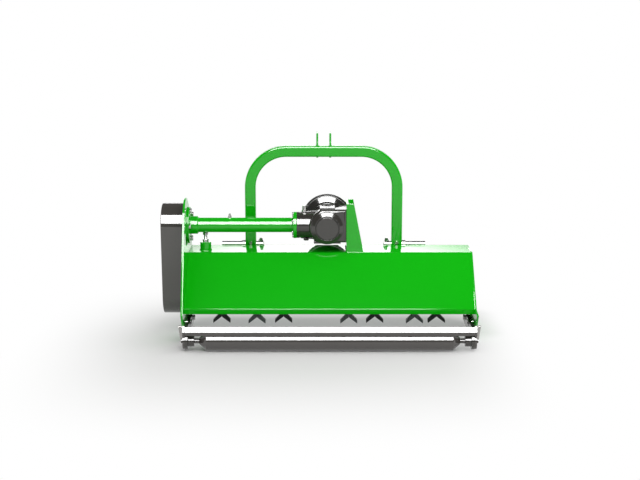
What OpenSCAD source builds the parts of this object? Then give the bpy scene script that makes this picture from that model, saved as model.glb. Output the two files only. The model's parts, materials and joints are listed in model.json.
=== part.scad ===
// Flail mower for a compact tractor. X runs to the right seen from behind, Y towards the tractor, Z up.
// Pieces are drawn with X = 0 at the middle of the hood, Y = 0 at its rear crease and Z = 0 on the ground,
// and placed() moves them so that the origin is under the middle of the whole machine.

/* [Hood] */
// Working width between the side plates
work_width = 1146; // [1100:1:1300]
// Thickness of the hood sheet
hood_t = 6; // [4:0.5:8]
// Height of the deck's top face
deck_height = 330; // [320:1:350]
// Depth of the flat deck, from the rear crease to the front bend
deck_depth = 160; // [150:1:175]
// How far the rear panel runs back from the crease
panel_run = 178; // [165:1:190]
// How far the rear panel drops
panel_drop = 193; // [180:1:205]
// Height of the lip below the rear panel
lip_drop = 20; // [12:1:25]
// How far the front panel runs forward
front_run = 76; // [70:1:85]
// How far the front panel drops
front_drop = 140; // [130:1:150]
// Outer radius of the bends in the sheet
bend_r = 9; // [8:0.5:14]

/* [Side plates] */
// Thickness of a side plate
plate_t = 8; // [6:0.5:10]
// How far the rear corner lies behind the crease
heel_run = 250; // [240:1:258]
// Height of the rear corner
heel_height = 128; // [122:1:132]
// Reach of the left plate's ear above the drive shaft
ear_reach = 119; // [114:1:126]

/* [Skids] */
// Thickness of the skid strip
skid_t = 6; // [4:0.5:8]
// Width of the strip outside the side plate
skid_flange = 12.5; // [10:0.5:16]
// Width of the strip inside the side plate
skid_inner = 4.5; // [3:0.5:4.5]
// Radius of the strip's bends
skid_bend = 50; // [40:1:60]

/* [Headstock] */
// Side of the square tube
mast_tube = 45; // [40:1:50]
// Wall of the square tube
mast_wall = 4; // [3:0.5:5]
// Width over both legs
mast_width = 655; // [640:1:665]
// Height of the crossbar's top
mast_height = 743; // [720:1:760]
// Bend radius at the middle of the tube
mast_bend = 150; // [120:1:160]
// Offset of the headstock from the middle of the hood
mast_x = -22; // [-40:1:0]
// Thickness of a top-link plate
link_t = 8; // [6:0.5:10]
// Gap between the top-link plates
link_gap = 46; // [44:0.5:52]
// Height of the top-link plates above the crossbar
link_rise = 50; // [45:1:60]
// Reach of the top-link plates in front of the crossbar
link_reach = 60; // [50:1:70]
// Radius of the top-link hole
link_hole_r = 9.75; // [9.5:0.05:10]
// Length of a hitch pin's shoulder outside the leg
hitch_shoulder = 14; // [10:0.5:18]
// Radius of a lower hitch pin
hitch_r = 11; // [10.5:0.1:11.2]
// Length of a hitch pin outside its shoulder
hitch_length = 84; // [75:1:95]
// Gap between a hitch pin's shoulder and the front panel
hitch_clear = 4.77; // [3:0.01:8]

/* [Gearbox] */
// Offset of the gearbox from the middle of the hood
gear_x = -8; // [-20:1:0]
// Place of the drive shaft in front of the crease
drive_y = 52; // [48:1:56]
// Height of the drive shaft above the deck
drive_rise = 104; // [100:1:110]
// Radius of the round rear cover
cover_r = 64.5; // [62:0.5:66]
// Radius of the flat face of the rear cover
cover_flat_r = 46; // [40:1:50]
// Radius of the neck that takes the drive tube
neck_r = 53.5; // [52:0.5:56]
// Radius of the guard bowl
guard_r = 104; // [95:1:110]
// Width of the gearbox bracket at the top
bracket_top = 30; // [25:1:40]
// Width of the gearbox bracket at the deck
bracket_foot = 69; // [60:1:80]

/* [Drive tube] */
// Outer radius of the tube
tube_r = 30; // [28:0.5:32]
// Wall of the tube
tube_wall = 5; // [4:0.5:6]
// Radius of the drive shafts
shaft_r = 15; // [14:0.5:16]
// Radius of the tension post
post_r = 22.5; // [20:0.5:25]
// Height of the tension post
post_height = 35; // [30:1:40]
// Place of the tension post, inwards from the left side plate
post_inset = 68; // [60:1:80]

/* [Belt drive] */
// Depth of the belt cover
case_depth = 96.5; // [90:0.5:105]
// Radius of the belt cover round the drive pulley
case_top_r = 90; // [88:1:94]
// Radius of the belt cover round the rotor pulley
case_foot_r = 81; // [76:1:84]
// Wall of the belt cover
case_wall = 4; // [3:0.5:5]
// Pitch radius of the drive pulley
drive_pulley_r = 78; // [74:1:80]
// Pitch radius of the rotor pulley
rotor_pulley_r = 42; // [40:1:46]

/* [Rotor] */
// Place of the rotor in front of the crease
rotor_y = 56; // [52:1:60]
// Height of the rotor
rotor_z = 148; // [144:1:152]
// Radius of the drum
drum_r = 32; // [30:0.5:33]
// Radius of the rotor's stub shafts
stub_r = 17.5; // [16:0.5:18]
// Radius of the circle of knife bolts
pivot_r = 56; // [54:0.5:58]
// Length of a knife from its bolt to its tip
knife_length = 79.5; // [75:0.5:82]
// Spread of a knife pair at its tips
knife_spread = 70; // [60:1:70]
// Width of a knife along its swing
knife_w = 26; // [22:1:26]
// Thickness of a knife
knife_t = 8; // [6:0.5:9]
// Swing of a knife to either side of straight out
knife_swing = 125; // [115:1:125]

/* [Roller] */
// Radius of the roller
roller_r = 38; // [34:1:40]
// Place of the roller behind the crease
roller_back = 282; // [276:1:290]
// Distance from the roller's cylinder to the side plates
roller_inset = 96; // [92:1:120]
// Length of a roller cone
cone_length = 28; // [20:1:30]
// Thickness of a roller arm
arm_t = 8; // [6:0.5:9]
// Place of the arms' front pivot in front of the crease
arm_pivot_y = 30; // [25:1:35]
// Height of the arms' front pivot
arm_pivot_z = 50; // [48:1:54]
// Tilt of the roller arms to either side
arm_tilt = 6; // [4:0.5:6]

/* [Front flaps] */
// Length of a flap below its rod
flap_length = 128; // [100:1:130]
// Thickness of a flap
flap_t = 5; // [4:0.5:6]
// Radius of the flap rod
flap_rod_r = 6; // [5:0.5:7]

/* [Hidden] */
$fn = 64;

// Overrun of cuts, running clearance of shafts and clearance of bolts in their holes
cut = 1;
run_gap = 0.05;
bolt_gap = 0.2;
// Clearance between faces that pass each other
pass_gap = 0.5;
// Points on each bend
bend_steps = 6;
m12_r = 6;
m8_r = 4;
// Hexagon across flats, head, nut and tail heights as shares of the bolt's radius
hex_flat_share = 3.1;
head_share = 1.3;
nut_share = 1.4;
tail_share = 0.5;

// Overall frame
drive_z = deck_height + drive_rise;
half_inner = work_width / 2;
half_outer = half_inner + plate_t;
leg_y = deck_depth;
crossbar_front = leg_y + mast_tube;
link_front = crossbar_front + link_reach;
hood_x = (case_depth + m8_r * head_share - skid_flange) / 2;
frame_y = (roller_back + roller_r - link_front) / 2;

// Hood outline, from the lip to the foot of the front panel
lip_foot = [-panel_run, deck_height - panel_drop - lip_drop];
lip_crease = [-panel_run, deck_height - panel_drop];
rear_crease = [0, deck_height];
front_crease = [deck_depth, deck_height];
front_foot = [deck_depth + front_run, deck_height - front_drop];
hood_path = [lip_foot, lip_crease, rear_crease, front_crease, front_foot];
front_along = unit(front_foot - front_crease);

// Skid outline along its underside
skid_rear_rise = 78;
skid_rear_run = 222;
skid_flat_rear = 160;
skid_flat_front = 140;
skid_front_rise = 80;
skid_front_run = 215;
skid_path = [[-skid_rear_run, skid_rear_rise], [-skid_flat_rear, 0], [skid_flat_front, 0],
    [skid_front_run, skid_front_rise]];

// Left plate's ear, as shares of its reach about the drive shaft
ear_corner_shares = [[0.81, 0.24], [-0.39, 1.02], [-0.92, 0.98], [-1.25, 0.6]];
ear_round = 40;
// Window below the drive tube, as shares of the ear's reach about the drive shaft
window_shares = [[-1.1, -0.13], [-0.62, -0.33], [-0.1, -0.56], [-1, -0.56]];
window_round = 8;
shaft_hole_r = shaft_r + tube_wall;
rotor_hole_r = stub_r + plate_t;

// Gearbox
box_half = 62;
body_r = 74;
box_right = 77.5;
box_low = 63;
box_high = 71;
box_round = 14;
box_top_pad = 7;
neck_length = 62;
gear_wall = 8;
cavity_r = box_half - gear_wall;
boss_out = 12;
boss_length = 36;
boss_r = 46;
cover_t = 16;
spigot = 6;
foot_t = 6;
foot_half = 54.5;
bearing_r = 31;
bearing_w = 16;
neck_bore = 36;
drive_c = [drive_y, drive_z];
rotor_c = [rotor_y, rotor_z];
box_rear = drive_y - box_half;
box_front = drive_y + box_half;
bracket_face = gear_x + box_right;
neck_face = gear_x - box_half - neck_length;
boss_front = box_front + boss_length;
breather_x = neck_face + neck_length / 2;
gear_r = 50;
gear_ratio_share = 0.5;
gear_face = 16;
tooth_gap = 0.3;
tooth_depth = 4;
gear_teeth = 28;
pinion_teeth = 14;
bracket_t = 8;
bracket_depth = 133;
bracket_high = 94;
bracket_bolt_reach = 33;
bracket_bolt_places = [for (a = [45:90:315]) drive_c + polar(bracket_bolt_reach * sqrt(2), a)];
guard_wall = 4;
guard_root = 16;
guard_neck = 33;
guard_neck_share = 0.74;
guard_bell = 47;
guard_rim = 43;
// Half section of the guard bowl: radius and distance from the gearbox
guard_section = [[boss_r, guard_root], [guard_r * guard_neck_share, guard_root],
    [guard_r * guard_neck_share, guard_neck], [guard_r, guard_bell], [guard_r, guard_bell + guard_rim]];
spline_r = 17.5;
spline_root_r = 14.9;
spline_w = 8.6;
spline_length = 106;
spline_count = 6;

// Drive tube
flange_r = 54;
flange_t = 14;
flange_bolt_reach = 45;
flange_bolts = 6;
flange_bolt_places = [for (i = [0:flange_bolts - 1])
    drive_c + polar(flange_bolt_reach, 360 * (i + 0.5) / flange_bolts)];
collar_r = 36.5;
collar_length = 31;
pad_r = 74;
pad_t = 7;
pad_bolt_reach = 62;
pad_bolt_angles = [33, 105, 177, 290];
pad_bolt_places = [for (a = pad_bolt_angles) drive_c + polar(pad_bolt_reach, a)];
tube_left = -half_inner + pad_t + collar_length;
tube_right = neck_face - flange_t;
nipple_x = tube_left + (tube_right - tube_left) / 3;
nipple_r = 9;
nipple_height = 17;
post_x = -half_inner + post_inset;
tension_r = 7;
tension_head = 10;
tension_travel = 12;
tension_floor = deck_height + tube_wall;
tension_top = drive_z - tube_r;

// Belt drive
case_steps = 24;
case_bolt_shares = [0.22, 0.5, 0.8];
pulley_w = 54;
pulley_inset = 20;
pulley_hub = 6;
belt_count = 3;
belt_w = 13;
belt_pitch = 17;
belt_depth = 9;
belt_gap = 0.6;
belt_proud = 2;
groove_foot_share = 0.6;
pulley_x = -half_outer - pulley_inset - pulley_w;
case_bolt_places = [for (s = case_bolt_shares) drive_c + (rotor_c - drive_c) * s];

// Rotor
drum_gap = 28;
flange_bearing_r = 60;
flange_bearing_t = 12;
hub_bearing_r = 40;
bearing_depth = 20;
bearing_bolt_reach = 52;
bearing_bolts = 4;
drum_half = half_inner - bearing_depth - drum_gap;
bearing_bolt_places = [for (i = [0:bearing_bolts - 1])
    rotor_c + polar(bearing_bolt_reach, 360 * (i + 0.5) / bearing_bolts)];
end_cap_r = 40;
end_cap_t = 8;
knife_bolt_r = 7;
knife_gap = 0.6;
knife_crotch = 53;
knife_shoulder = 39;
knife_lip = 13;
lug_t = 6;
lug_r = 14;
lug_foot = 18;
row_start_angle = 217;
row_step_angle = 72;
// Row of each knife and its place as a share of the working width
knife_rows = [2, 0, 4, 1, 0, 2, 4, 1, 0, 2, 1, 0, 2];
knife_place_shares = [-0.4485, -0.384, -0.3224, -0.261, -0.163, -0.0855, -0.007, 0.0716, 0.163, 0.2365,
    0.31, 0.384, 0.4485];

// Roller
roller_c = [-roller_back, roller_r];
roller_half = half_inner - roller_inset;
cone_end_r = 13;
roller_shaft_r = 10;
arm_gap = 5;
arm_face = half_inner - arm_gap - arm_t;
arm_eye_r = 32;
arm_nose_r = 26;
arm_web_share = 0.9;
arm_clamp = 130;
slot_r = 7.5;
roller_bearing_length = 36;
roller_flange_r = 33;
roller_flange_t = 12;
roller_boss_r = 22;
roller_nut_r = 9;
roller_nut_t = 8;
bar_gap = 22;
bar_half = arm_face - bar_gap;
bar_t = 4;
bar_high = 61;
bar_mid = 42;
bar_low = 28;
bar_near = 20;
clip_lap = 12;
bar_far = 33;
bar_path = [roller_c + [-bar_near, bar_high], roller_c + [-bar_far, bar_mid],
    roller_c + [-bar_far, bar_low]];
// The clamp bolt lies this angle above the line from the pivot to the roller
arm_lift_angle = 9;
arm_pivot = [arm_pivot_y, arm_pivot_z];
arm_line = unit(roller_c - arm_pivot);
arm_clamp_angle = atan2(arm_line[1], arm_line[0]) - arm_lift_angle;
arm_clamp_place = arm_pivot + polar(arm_clamp, arm_clamp_angle);
arm_bolt_places = [arm_pivot, arm_clamp_place];

// Front flaps
flap_count = 4;
flap_eye_r = 10;
flap_drop = 12;
flap_ahead = 4;
tab_t = 6;
tab_r = 11;
tab_foot = 8;
tab_grip = 40;
flap_rod_c = front_foot + [flap_ahead, -flap_drop];
flap_pitch = (work_width - tab_t) / flap_count;

// Headstock details
pin_y = leg_y + mast_tube / 2;
shoulder_r = 15;
panel_under_pin = deck_height - (pin_y - deck_depth) * front_drop / front_run;
hitch_height = panel_under_pin + (shoulder_r + hitch_clear) / front_along[0];
pin_inside = 32;
lock_rise = 8;
lock_height = deck_height + lock_rise;
linch_out = 20;
linch_r = 4;
linch_head_r = 6;
ring_r = 20;
ring_wire = 2;
ring_turn = -35;
ring_eye = 3.3;
link_hole_drop = 25;
link_hook = 14;
link_lap = 12;
link_tip = 8;

function unit(v) = v / norm(v);
function left_of(a, b) = let (d = unit(b - a)) [-d[1], d[0]];
function polar(r, a) = [r * cos(a), r * sin(a)];

// Arc that rounds the corner b between a and c
function corner(a, b, c, r) =
    let (u = unit(a - b), v = unit(c - b), half = acos(u * v) / 2)
    let (o = b + unit(u + v) * (r / sin(half)))
    let (s = b + u * (r / tan(half)) - o, e = b + v * (r / tan(half)) - o)
    let (from = atan2(s[1], s[0]), sweep = (atan2(e[1], e[0]) - from + 900) % 360 - 180)
    [for (i = [0:bend_steps]) o + polar(r, from + sweep * i / bend_steps)];
function rounded_path(p, r) = concat([p[0]],
    [for (i = [1:len(p) - 2]) each corner(p[i - 1], p[i], p[i + 1], r)], [p[len(p) - 1]]);
function rounded_loop(p, r) = let (n = len(p))
    [for (i = [0:n - 1]) each corner(p[(i + n - 1) % n], p[i], p[(i + 1) % n], r)];

// Path moved sideways by t, to its left
function moved(p, t) = let (n = len(p))
    [for (i = [0:n - 1])
        let (a = left_of(p[max(i - 1, 0)], p[max(i, 1)]), b = left_of(p[min(i, n - 2)], p[min(i + 1, n - 1)]))
        p[i] + unit(a + b) * (t / (unit(a + b) * a))];
function reversed(p) = [for (i = [len(p) - 1:-1:0]) p[i]];

// Loop round two circles, as a belt runs
function belt_loop(c1, r1, c2, r2) =
    let (base = atan2((c2 - c1)[1], (c2 - c1)[0]), spread = acos((r1 - r2) / norm(c2 - c1)))
    concat([for (i = [0:case_steps]) c1 + polar(r1, base + spread + (360 - 2 * spread) * i / case_steps)],
        [for (i = [0:case_steps]) c2 + polar(r2, base - spread + 2 * spread * i / case_steps)]);

module placed() {
    translate([hood_x, frame_y, 0]) children();
}

// A flat shape in Y and Z, extruded from x to x + w
module along_x(x, w) {
    translate([x, 0, 0]) rotate([90, 0, 90]) linear_extrude(height = w) children();
}

// A flat shape in X and Z, extruded from y to y + w
module along_y(y, w) {
    translate([0, y + w, 0]) rotate([90, 0, 0]) linear_extrude(height = w) children();
}

module x_rod(r, x0, x1, c) {
    translate([x0, c[0], c[1]]) rotate([0, 90, 0]) cylinder(r = r, h = x1 - x0);
}

module y_rod(r, y0, y1, x, z) {
    translate([x, y0, z]) rotate([-90, 0, 0]) cylinder(r = r, h = y1 - y0);
}

module z_rod(r, z0, z1, x, y) {
    translate([x, y, z0]) cylinder(r = r, h = z1 - z0);
}

module strip(p, t) {
    polygon(concat(p, reversed(moved(p, t))));
}

module hexagon(r, h) {
    cylinder(r = r * hex_flat_share / (2 * cos(30)), h = h, $fn = 6);
}

// A bolt along +Z with its head below zero; with a nut it is longer than its grip
module hex_bolt(r, grip, nut) {
    translate([0, 0, -r * head_share]) hexagon(r, r * head_share);
    cylinder(r = r, h = nut ? grip + r * (nut_share + tail_share) : grip);
    if (nut) translate([0, 0, grip]) hexagon(r, r * nut_share);
}

module x_bolt(r, x, c, grip, nut, way) {
    translate([x, c[0], c[1]]) rotate([0, 90 * way, 0]) hex_bolt(r, grip, nut);
}

module mirrored() {
    children();
    mirror([1, 0, 0]) children();
}

module hood_sheet() {
    color("limegreen") placed() along_x(-half_inner, work_width)
        strip(rounded_path(hood_path, bend_r), -hood_t);
}

module plate_holes(x) {
    x_rod(rotor_hole_r, x - cut, x + plate_t + cut, rotor_c);
    for (c = concat(bearing_bolt_places, arm_bolt_places))
        x_rod(m12_r + bolt_gap, x - cut, x + plate_t + cut, c);
}

function skid_top() = moved(rounded_path(skid_path, skid_bend), skid_t);

module left_side_plate() {
    ear = [for (s = ear_corner_shares) drive_c + ear_reach * s];
    heel = [-heel_run, heel_height];
    rim = rounded_path(concat([front_foot, front_crease], ear, [heel]), ear_round);
    color("limegreen") placed() difference() {
        along_x(-half_outer, plate_t) polygon(concat(rim, skid_top()));
        plate_holes(-half_outer);
        x_rod(shaft_hole_r, -half_outer - cut, -half_inner + cut, drive_c);
        for (c = pad_bolt_places)
            x_rod(m12_r + bolt_gap, -half_outer - cut, -half_inner + cut, c);
        along_x(-half_outer - cut, plate_t + 2 * cut)
            polygon(rounded_loop([for (s = window_shares) drive_c + ear_reach * s], window_round));
    }
}

module right_side_plate() {
    heel = [-heel_run, heel_height];
    rim = concat(reversed(rounded_path([lip_crease, rear_crease, front_crease, front_foot], bend_r)), [heel]);
    color("limegreen") placed() difference() {
        along_x(half_inner, plate_t) polygon(concat(rim, skid_top()));
        plate_holes(half_inner);
    }
}

module skids() {
    color("silver") placed() mirrored()
        along_x(half_inner - skid_inner, plate_t + skid_inner + skid_flange)
            strip(rounded_path(skid_path, skid_bend), skid_t);
}

// Square ring of the headstock tube, about its middle
module tube_section(side, wall) {
    difference() {
        square(side, center = true);
        square(side - 2 * wall, center = true);
    }
}

module headstock_leg() {
    leg_x = mast_width / 2 - mast_tube;
    bend_z = mast_height - mast_tube / 2 - mast_bend;
    foot_z = deck_height + front_along[1] / front_along[0] * mast_tube;
    difference() {
        along_x(leg_x, mast_tube)
            polygon([[leg_y, deck_height], [leg_y, bend_z], [crossbar_front, bend_z],
                [crossbar_front, foot_z]]);
        translate([leg_x + mast_wall, leg_y + mast_wall, 0])
            cube([mast_tube - 2 * mast_wall, mast_tube - 2 * mast_wall, bend_z + cut]);
        x_rod(hitch_r + run_gap, leg_x - cut, leg_x + mast_tube + cut, [pin_y, hitch_height]);
        y_rod(m8_r + bolt_gap, leg_y - cut, crossbar_front + cut, leg_x + mast_tube / 2, lock_height);
    }
}

module headstock_tube() {
    middle = mast_width / 2 - mast_tube / 2 - mast_bend;
    bend_z = mast_height - mast_tube / 2 - mast_bend;
    color("limegreen") placed() translate([mast_x, 0, 0]) {
        mirrored() headstock_leg();
        mirrored() translate([middle, pin_y, bend_z]) rotate([90, 0, 0])
            rotate_extrude(angle = 90) translate([mast_bend, 0]) tube_section(mast_tube, mast_wall);
        translate([-middle, pin_y, mast_height - mast_tube / 2]) rotate([0, 90, 0])
            linear_extrude(height = 2 * middle) tube_section(mast_tube, mast_wall);
    }
}

module top_link_plates() {
    low = mast_height - mast_tube;
    outline = [[crossbar_front - link_lap - mast_tube / 2, mast_height], [crossbar_front, mast_height],
        [crossbar_front, low - link_tip], [crossbar_front + link_tip, low - link_tip],
        [link_front, mast_height], [link_front, mast_height + link_rise],
        [crossbar_front - link_lap, mast_height + link_rise], [crossbar_front - link_lap, mast_height + link_hook],
        [crossbar_front - link_lap - mast_tube / 2, mast_height + link_hook]];
    hole = [link_front - link_hole_drop, mast_height + link_rise - link_hole_drop];
    color("limegreen") placed() translate([mast_x, 0, 0]) mirrored() difference() {
        along_x(link_gap / 2, link_t) polygon(outline);
        x_rod(link_hole_r, link_gap / 2 - cut, link_gap / 2 + link_t + cut, hole);
    }
}

// Hitch pin of the right-hand side, about the middle of the headstock
module hitch_pin() {
    outer = mast_width / 2;
    inner = outer - mast_tube - pin_inside;
    c = [pin_y, hitch_height];
    difference() {
        union() {
            x_rod(hitch_r, inner, outer + hitch_shoulder + hitch_length, c);
            x_rod(shoulder_r, outer, outer + hitch_shoulder, c);
        }
        y_rod(m8_r + bolt_gap, pin_y - shoulder_r, pin_y + shoulder_r, outer - mast_tube / 2, lock_height);
        z_rod(linch_r + bolt_gap, hitch_height - shoulder_r, hitch_height + shoulder_r,
            outer - mast_tube - linch_out, pin_y);
    }
}

module hitch_pin_left() {
    color("silver") placed() translate([mast_x, 0, 0]) mirror([1, 0, 0]) hitch_pin();
}

module hitch_pin_right() {
    color("silver") placed() translate([mast_x, 0, 0]) hitch_pin();
}

module linch_pins() {
    x = mast_width / 2 - mast_tube - linch_out;
    eye_z = hitch_height + ring_r;
    color("silver") placed() translate([mast_x, 0, 0]) mirrored() difference() {
        union() {
            z_rod(linch_r, hitch_height - hitch_r - linch_r, eye_z, x, pin_y);
            z_rod(linch_head_r, hitch_height + hitch_r, eye_z + linch_head_r, x, pin_y);
        }
        translate([x, pin_y, eye_z]) rotate([0, 0, ring_turn]) y_rod(ring_eye, -ring_r, ring_r, 0, 0);
    }
}

// Spring ring of the right-hand linch pin, through the pin's head and round the end of the hitch pin
module linch_ring() {
    x = mast_width / 2 - mast_tube - linch_out;
    translate([x, pin_y, hitch_height]) rotate([0, 0, ring_turn]) rotate([0, 90, 0])
        rotate_extrude() translate([ring_r, 0]) circle(r = ring_wire, $fn = 16);
}

module linch_ring_left() {
    color("silver") placed() translate([mast_x, 0, 0]) mirror([1, 0, 0]) linch_ring();
}

module linch_ring_right() {
    color("silver") placed() translate([mast_x, 0, 0]) linch_ring();
}

function rounded_box(x0, z0, x1, z1) = rounded_loop([[x0, z0], [x1, z0], [x1, z1], [x0, z1]], box_round);

module gearbox_housing() {
    left = gear_x - body_r;
    low = drive_z - box_low;
    color("dimgray") placed() difference() {
        union() {
            intersection() {
                along_y(box_rear, 2 * box_half) {
                    translate([gear_x, drive_z]) circle(r = body_r);
                    translate([gear_x, low]) square([bracket_face - gear_x, box_low + box_high]);
                }
                along_x(left, bracket_face - left)
                    polygon(rounded_box(box_rear, low, box_front, drive_z + box_high));
            }
            x_rod(neck_r, neck_face, gear_x, drive_c);
            y_rod(cover_r, box_rear - boss_out, drive_y, gear_x, drive_z);
            y_rod(boss_r, drive_y, boss_front, gear_x, drive_z);
            translate([gear_x - box_half / 2, box_rear + box_round, drive_z])
                cube([box_half, 2 * box_half - 2 * box_round, box_high + box_top_pad]);
            translate([gear_x - foot_half, box_rear + box_round, low - foot_t])
                cube([2 * foot_half, 2 * box_half - 2 * box_round, box_low]);
        }
        y_rod(cavity_r, box_rear - boss_out - cut, box_front - gear_wall, gear_x, drive_z);
        y_rod(bearing_r + run_gap, drive_y, boss_front + cut, gear_x, drive_z);
        x_rod(neck_bore, neck_face + bearing_w, gear_x, drive_c);
        x_rod(bearing_r + run_gap, neck_face - cut, bracket_face - gear_wall, drive_c);
        for (c = bracket_bolt_places)
            x_rod(m12_r + bolt_gap, bracket_face - 4 * m12_r, bracket_face + cut, c);
        for (c = flange_bolt_places)
            x_rod(m8_r + bolt_gap, neck_face - cut, neck_face + 4 * m8_r, c);
        z_rod(nipple_r / 2 + bolt_gap, drive_z + neck_bore - cut, drive_z + neck_r + cut,
            breather_x, drive_y);
    }
}

module gearbox_rear_cover() {
    rear = box_rear - boss_out;
    color("dimgray") placed() translate([gear_x, rear, drive_z]) rotate([90, 0, 0]) rotate_extrude()
        polygon([[0, cover_t], [cover_flat_r, cover_t], [cover_r, gear_wall / 2], [cover_r, 0],
            [cavity_r - run_gap, 0], [cavity_r - run_gap, -spigot], [cavity_r - gear_wall, -spigot],
            [cavity_r - gear_wall, 0], [0, 0]]);
}

module bearing_ring(bore) {
    difference() {
        cylinder(r = bearing_r, h = bearing_w);
        translate([0, 0, -cut]) cylinder(r = bore + run_gap, h = bearing_w + 2 * cut);
    }
}

module gearbox_bearings() {
    color("silver") placed() {
        for (x = [neck_face, bracket_face - gear_wall - bearing_w])
            translate([x, drive_y, drive_z]) rotate([0, 90, 0]) bearing_ring(shaft_r);
        for (y = [box_front - gear_wall, boss_front - bearing_w])
            translate([gear_x, y, drive_z]) rotate([-90, 0, 0]) bearing_ring(shaft_r);
    }
}

module gearbox_bracket() {
    high = drive_z + bracket_high;
    gusset = [[bracket_face, deck_height], [bracket_face + bracket_foot, deck_height],
        [bracket_face + bracket_top, high], [bracket_face, high]];
    color("limegreen") placed() difference() {
        union() {
            translate([bracket_face, 0, deck_height]) cube([bracket_t, bracket_depth, high - deck_height]);
            for (y = [0, bracket_depth - bracket_t]) along_y(y, bracket_t) polygon(gusset);
        }
        for (c = bracket_bolt_places)
            x_rod(m12_r + bolt_gap, bracket_face - cut, bracket_face + bracket_t + cut, c);
    }
}

module breather_plug() {
    top = drive_z + neck_r;
    color("silver") placed() {
        z_rod(nipple_r / 2, drive_z + neck_bore, top + nipple_r, breather_x, drive_y);
        translate([breather_x, drive_y, top]) hexagon(m8_r + m8_r / 2, nipple_r);
        z_rod(nipple_r, top + nipple_r, top + 3 * nipple_r, breather_x, drive_y);
    }
}

module pto_guard() {
    color("dimgray") placed() translate([gear_x, box_front, drive_z]) rotate([-90, 0, 0]) rotate_extrude()
        polygon(concat(guard_section, reversed(moved(guard_section, guard_wall))));
}

module drive_tube() {
    left = -half_inner;
    color("limegreen") placed() difference() {
        union() {
            x_rod(pad_r, left, left + pad_t, drive_c);
            x_rod(collar_r, left + pad_t, tube_left, drive_c);
            x_rod(tube_r, tube_left, tube_right, drive_c);
            x_rod(flange_r, tube_right, neck_face, drive_c);
        }
        x_rod(tube_r - tube_wall, left - cut, neck_face + cut, drive_c);
        for (c = pad_bolt_places)
            x_rod(m12_r + bolt_gap, left - cut, left + pad_t + cut, c);
        for (c = flange_bolt_places)
            x_rod(m8_r + bolt_gap, tube_right - cut, neck_face + cut, c);
        z_rod(nipple_r / 2 + bolt_gap, drive_z, drive_z + 2 * tube_r, nipple_x, drive_y);
    }
}

module grease_nipple() {
    top = drive_z + tube_r;
    color("silver") placed() {
        z_rod(nipple_r / 2, top - tube_wall, top + nipple_height, nipple_x, drive_y);
        translate([nipple_x, drive_y, top]) hexagon(m8_r, nipple_height / 2);
    }
}

module tension_post() {
    color("limegreen") placed() difference() {
        z_rod(post_r, deck_height, deck_height + post_height, post_x, drive_y);
        z_rod(tension_r + run_gap, tension_floor, deck_height + post_height + cut, post_x, drive_y);
    }
}

module tension_nut() {
    top = deck_height + post_height;
    color("silver") placed() difference() {
        translate([post_x, drive_y, top]) hexagon(tension_r, tension_head);
        z_rod(tension_r + run_gap, top - cut, top + tension_head + cut, post_x, drive_y);
    }
}

module tension_bolt() {
    color("silver") placed() {
        z_rod(tension_r, tension_floor + tension_travel, tension_top - run_gap, post_x, drive_y);
        translate([post_x, drive_y, tension_top - run_gap - tension_head]) hexagon(tension_r, tension_head);
    }
}

module case_slab(inset, x, w) {
    along_x(x, w) polygon(belt_loop(drive_c, case_top_r - inset, rotor_c, case_foot_r - inset));
}

module belt_cover() {
    outer = -half_outer - case_depth;
    color("dimgray") placed() difference() {
        case_slab(0, outer, case_depth);
        case_slab(case_wall, outer + case_wall, case_depth);
        for (c = case_bolt_places) x_rod(m8_r + bolt_gap, outer - cut, outer + case_wall + cut, c);
    }
}

// Half section of a pulley: radius and place along its width
function pulley_section(r) = concat([[shaft_r, 0], [r + belt_proud, 0]],
    [for (i = [0:belt_count - 1])
        let (x = pulley_w / 2 + (i - (belt_count - 1) / 2) * belt_pitch, half = belt_w / 2 + belt_gap)
        each [[r + belt_proud, x - half], [r - belt_depth, x - half * groove_foot_share],
            [r - belt_depth, x + half * groove_foot_share], [r + belt_proud, x + half]]],
    [[r + belt_proud, pulley_w], [shaft_r, pulley_w]]);

module pulley(r, bore, c) {
    translate([pulley_x, c[0], c[1]]) rotate([0, 90, 0]) difference() {
        rotate_extrude() polygon(pulley_section(r));
        translate([0, 0, -cut]) cylinder(r = bore, h = pulley_w + 2 * cut);
    }
}

module drive_pulley() {
    color("dimgray") placed() pulley(drive_pulley_r, shaft_r, drive_c);
}

module rotor_pulley() {
    color("dimgray") placed() pulley(rotor_pulley_r, stub_r, rotor_c);
}

// Wedge of one belt, from its inner to its outer face
function belt_section(r) = let (s = groove_foot_share + (1 - groove_foot_share) / 4)
    [[r - belt_depth * 3 / 4, -belt_w / 2 * s], [r + belt_proud / 2, -belt_w / 2],
        [r + belt_proud / 2, belt_w / 2], [r - belt_depth * 3 / 4, belt_w / 2 * s]];

// One belt round both pulleys: two arcs and two straight runs
module belt() {
    way = rotor_c - drive_c;
    base = atan2(way[1], way[0]);
    spread = acos((drive_pulley_r - rotor_pulley_r) / norm(way));
    run = norm(way) * sin(spread);
    translate([0, drive_y, drive_z]) rotate([base + spread, 0, 0]) rotate([90, 0, 90])
        rotate_extrude(angle = 360 - 2 * spread) polygon(belt_section(drive_pulley_r));
    translate([0, rotor_y, rotor_z]) rotate([base - spread, 0, 0]) rotate([90, 0, 90])
        rotate_extrude(angle = 2 * spread) polygon(belt_section(rotor_pulley_r));
    for (side = [-1, 1])
        translate([0, drive_y, drive_z]) rotate([base + side * spread, 0, 0])
            translate([0, 0, side > 0 ? -run : 0]) linear_extrude(height = run)
                polygon([for (p = belt_section(drive_pulley_r)) [p[1], p[0]]]);
}

module v_belts() {
    color("black") placed() for (i = [0:belt_count - 1])
        translate([pulley_x + pulley_w / 2 + (i - (belt_count - 1) / 2) * belt_pitch, 0, 0]) belt();
}

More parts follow.
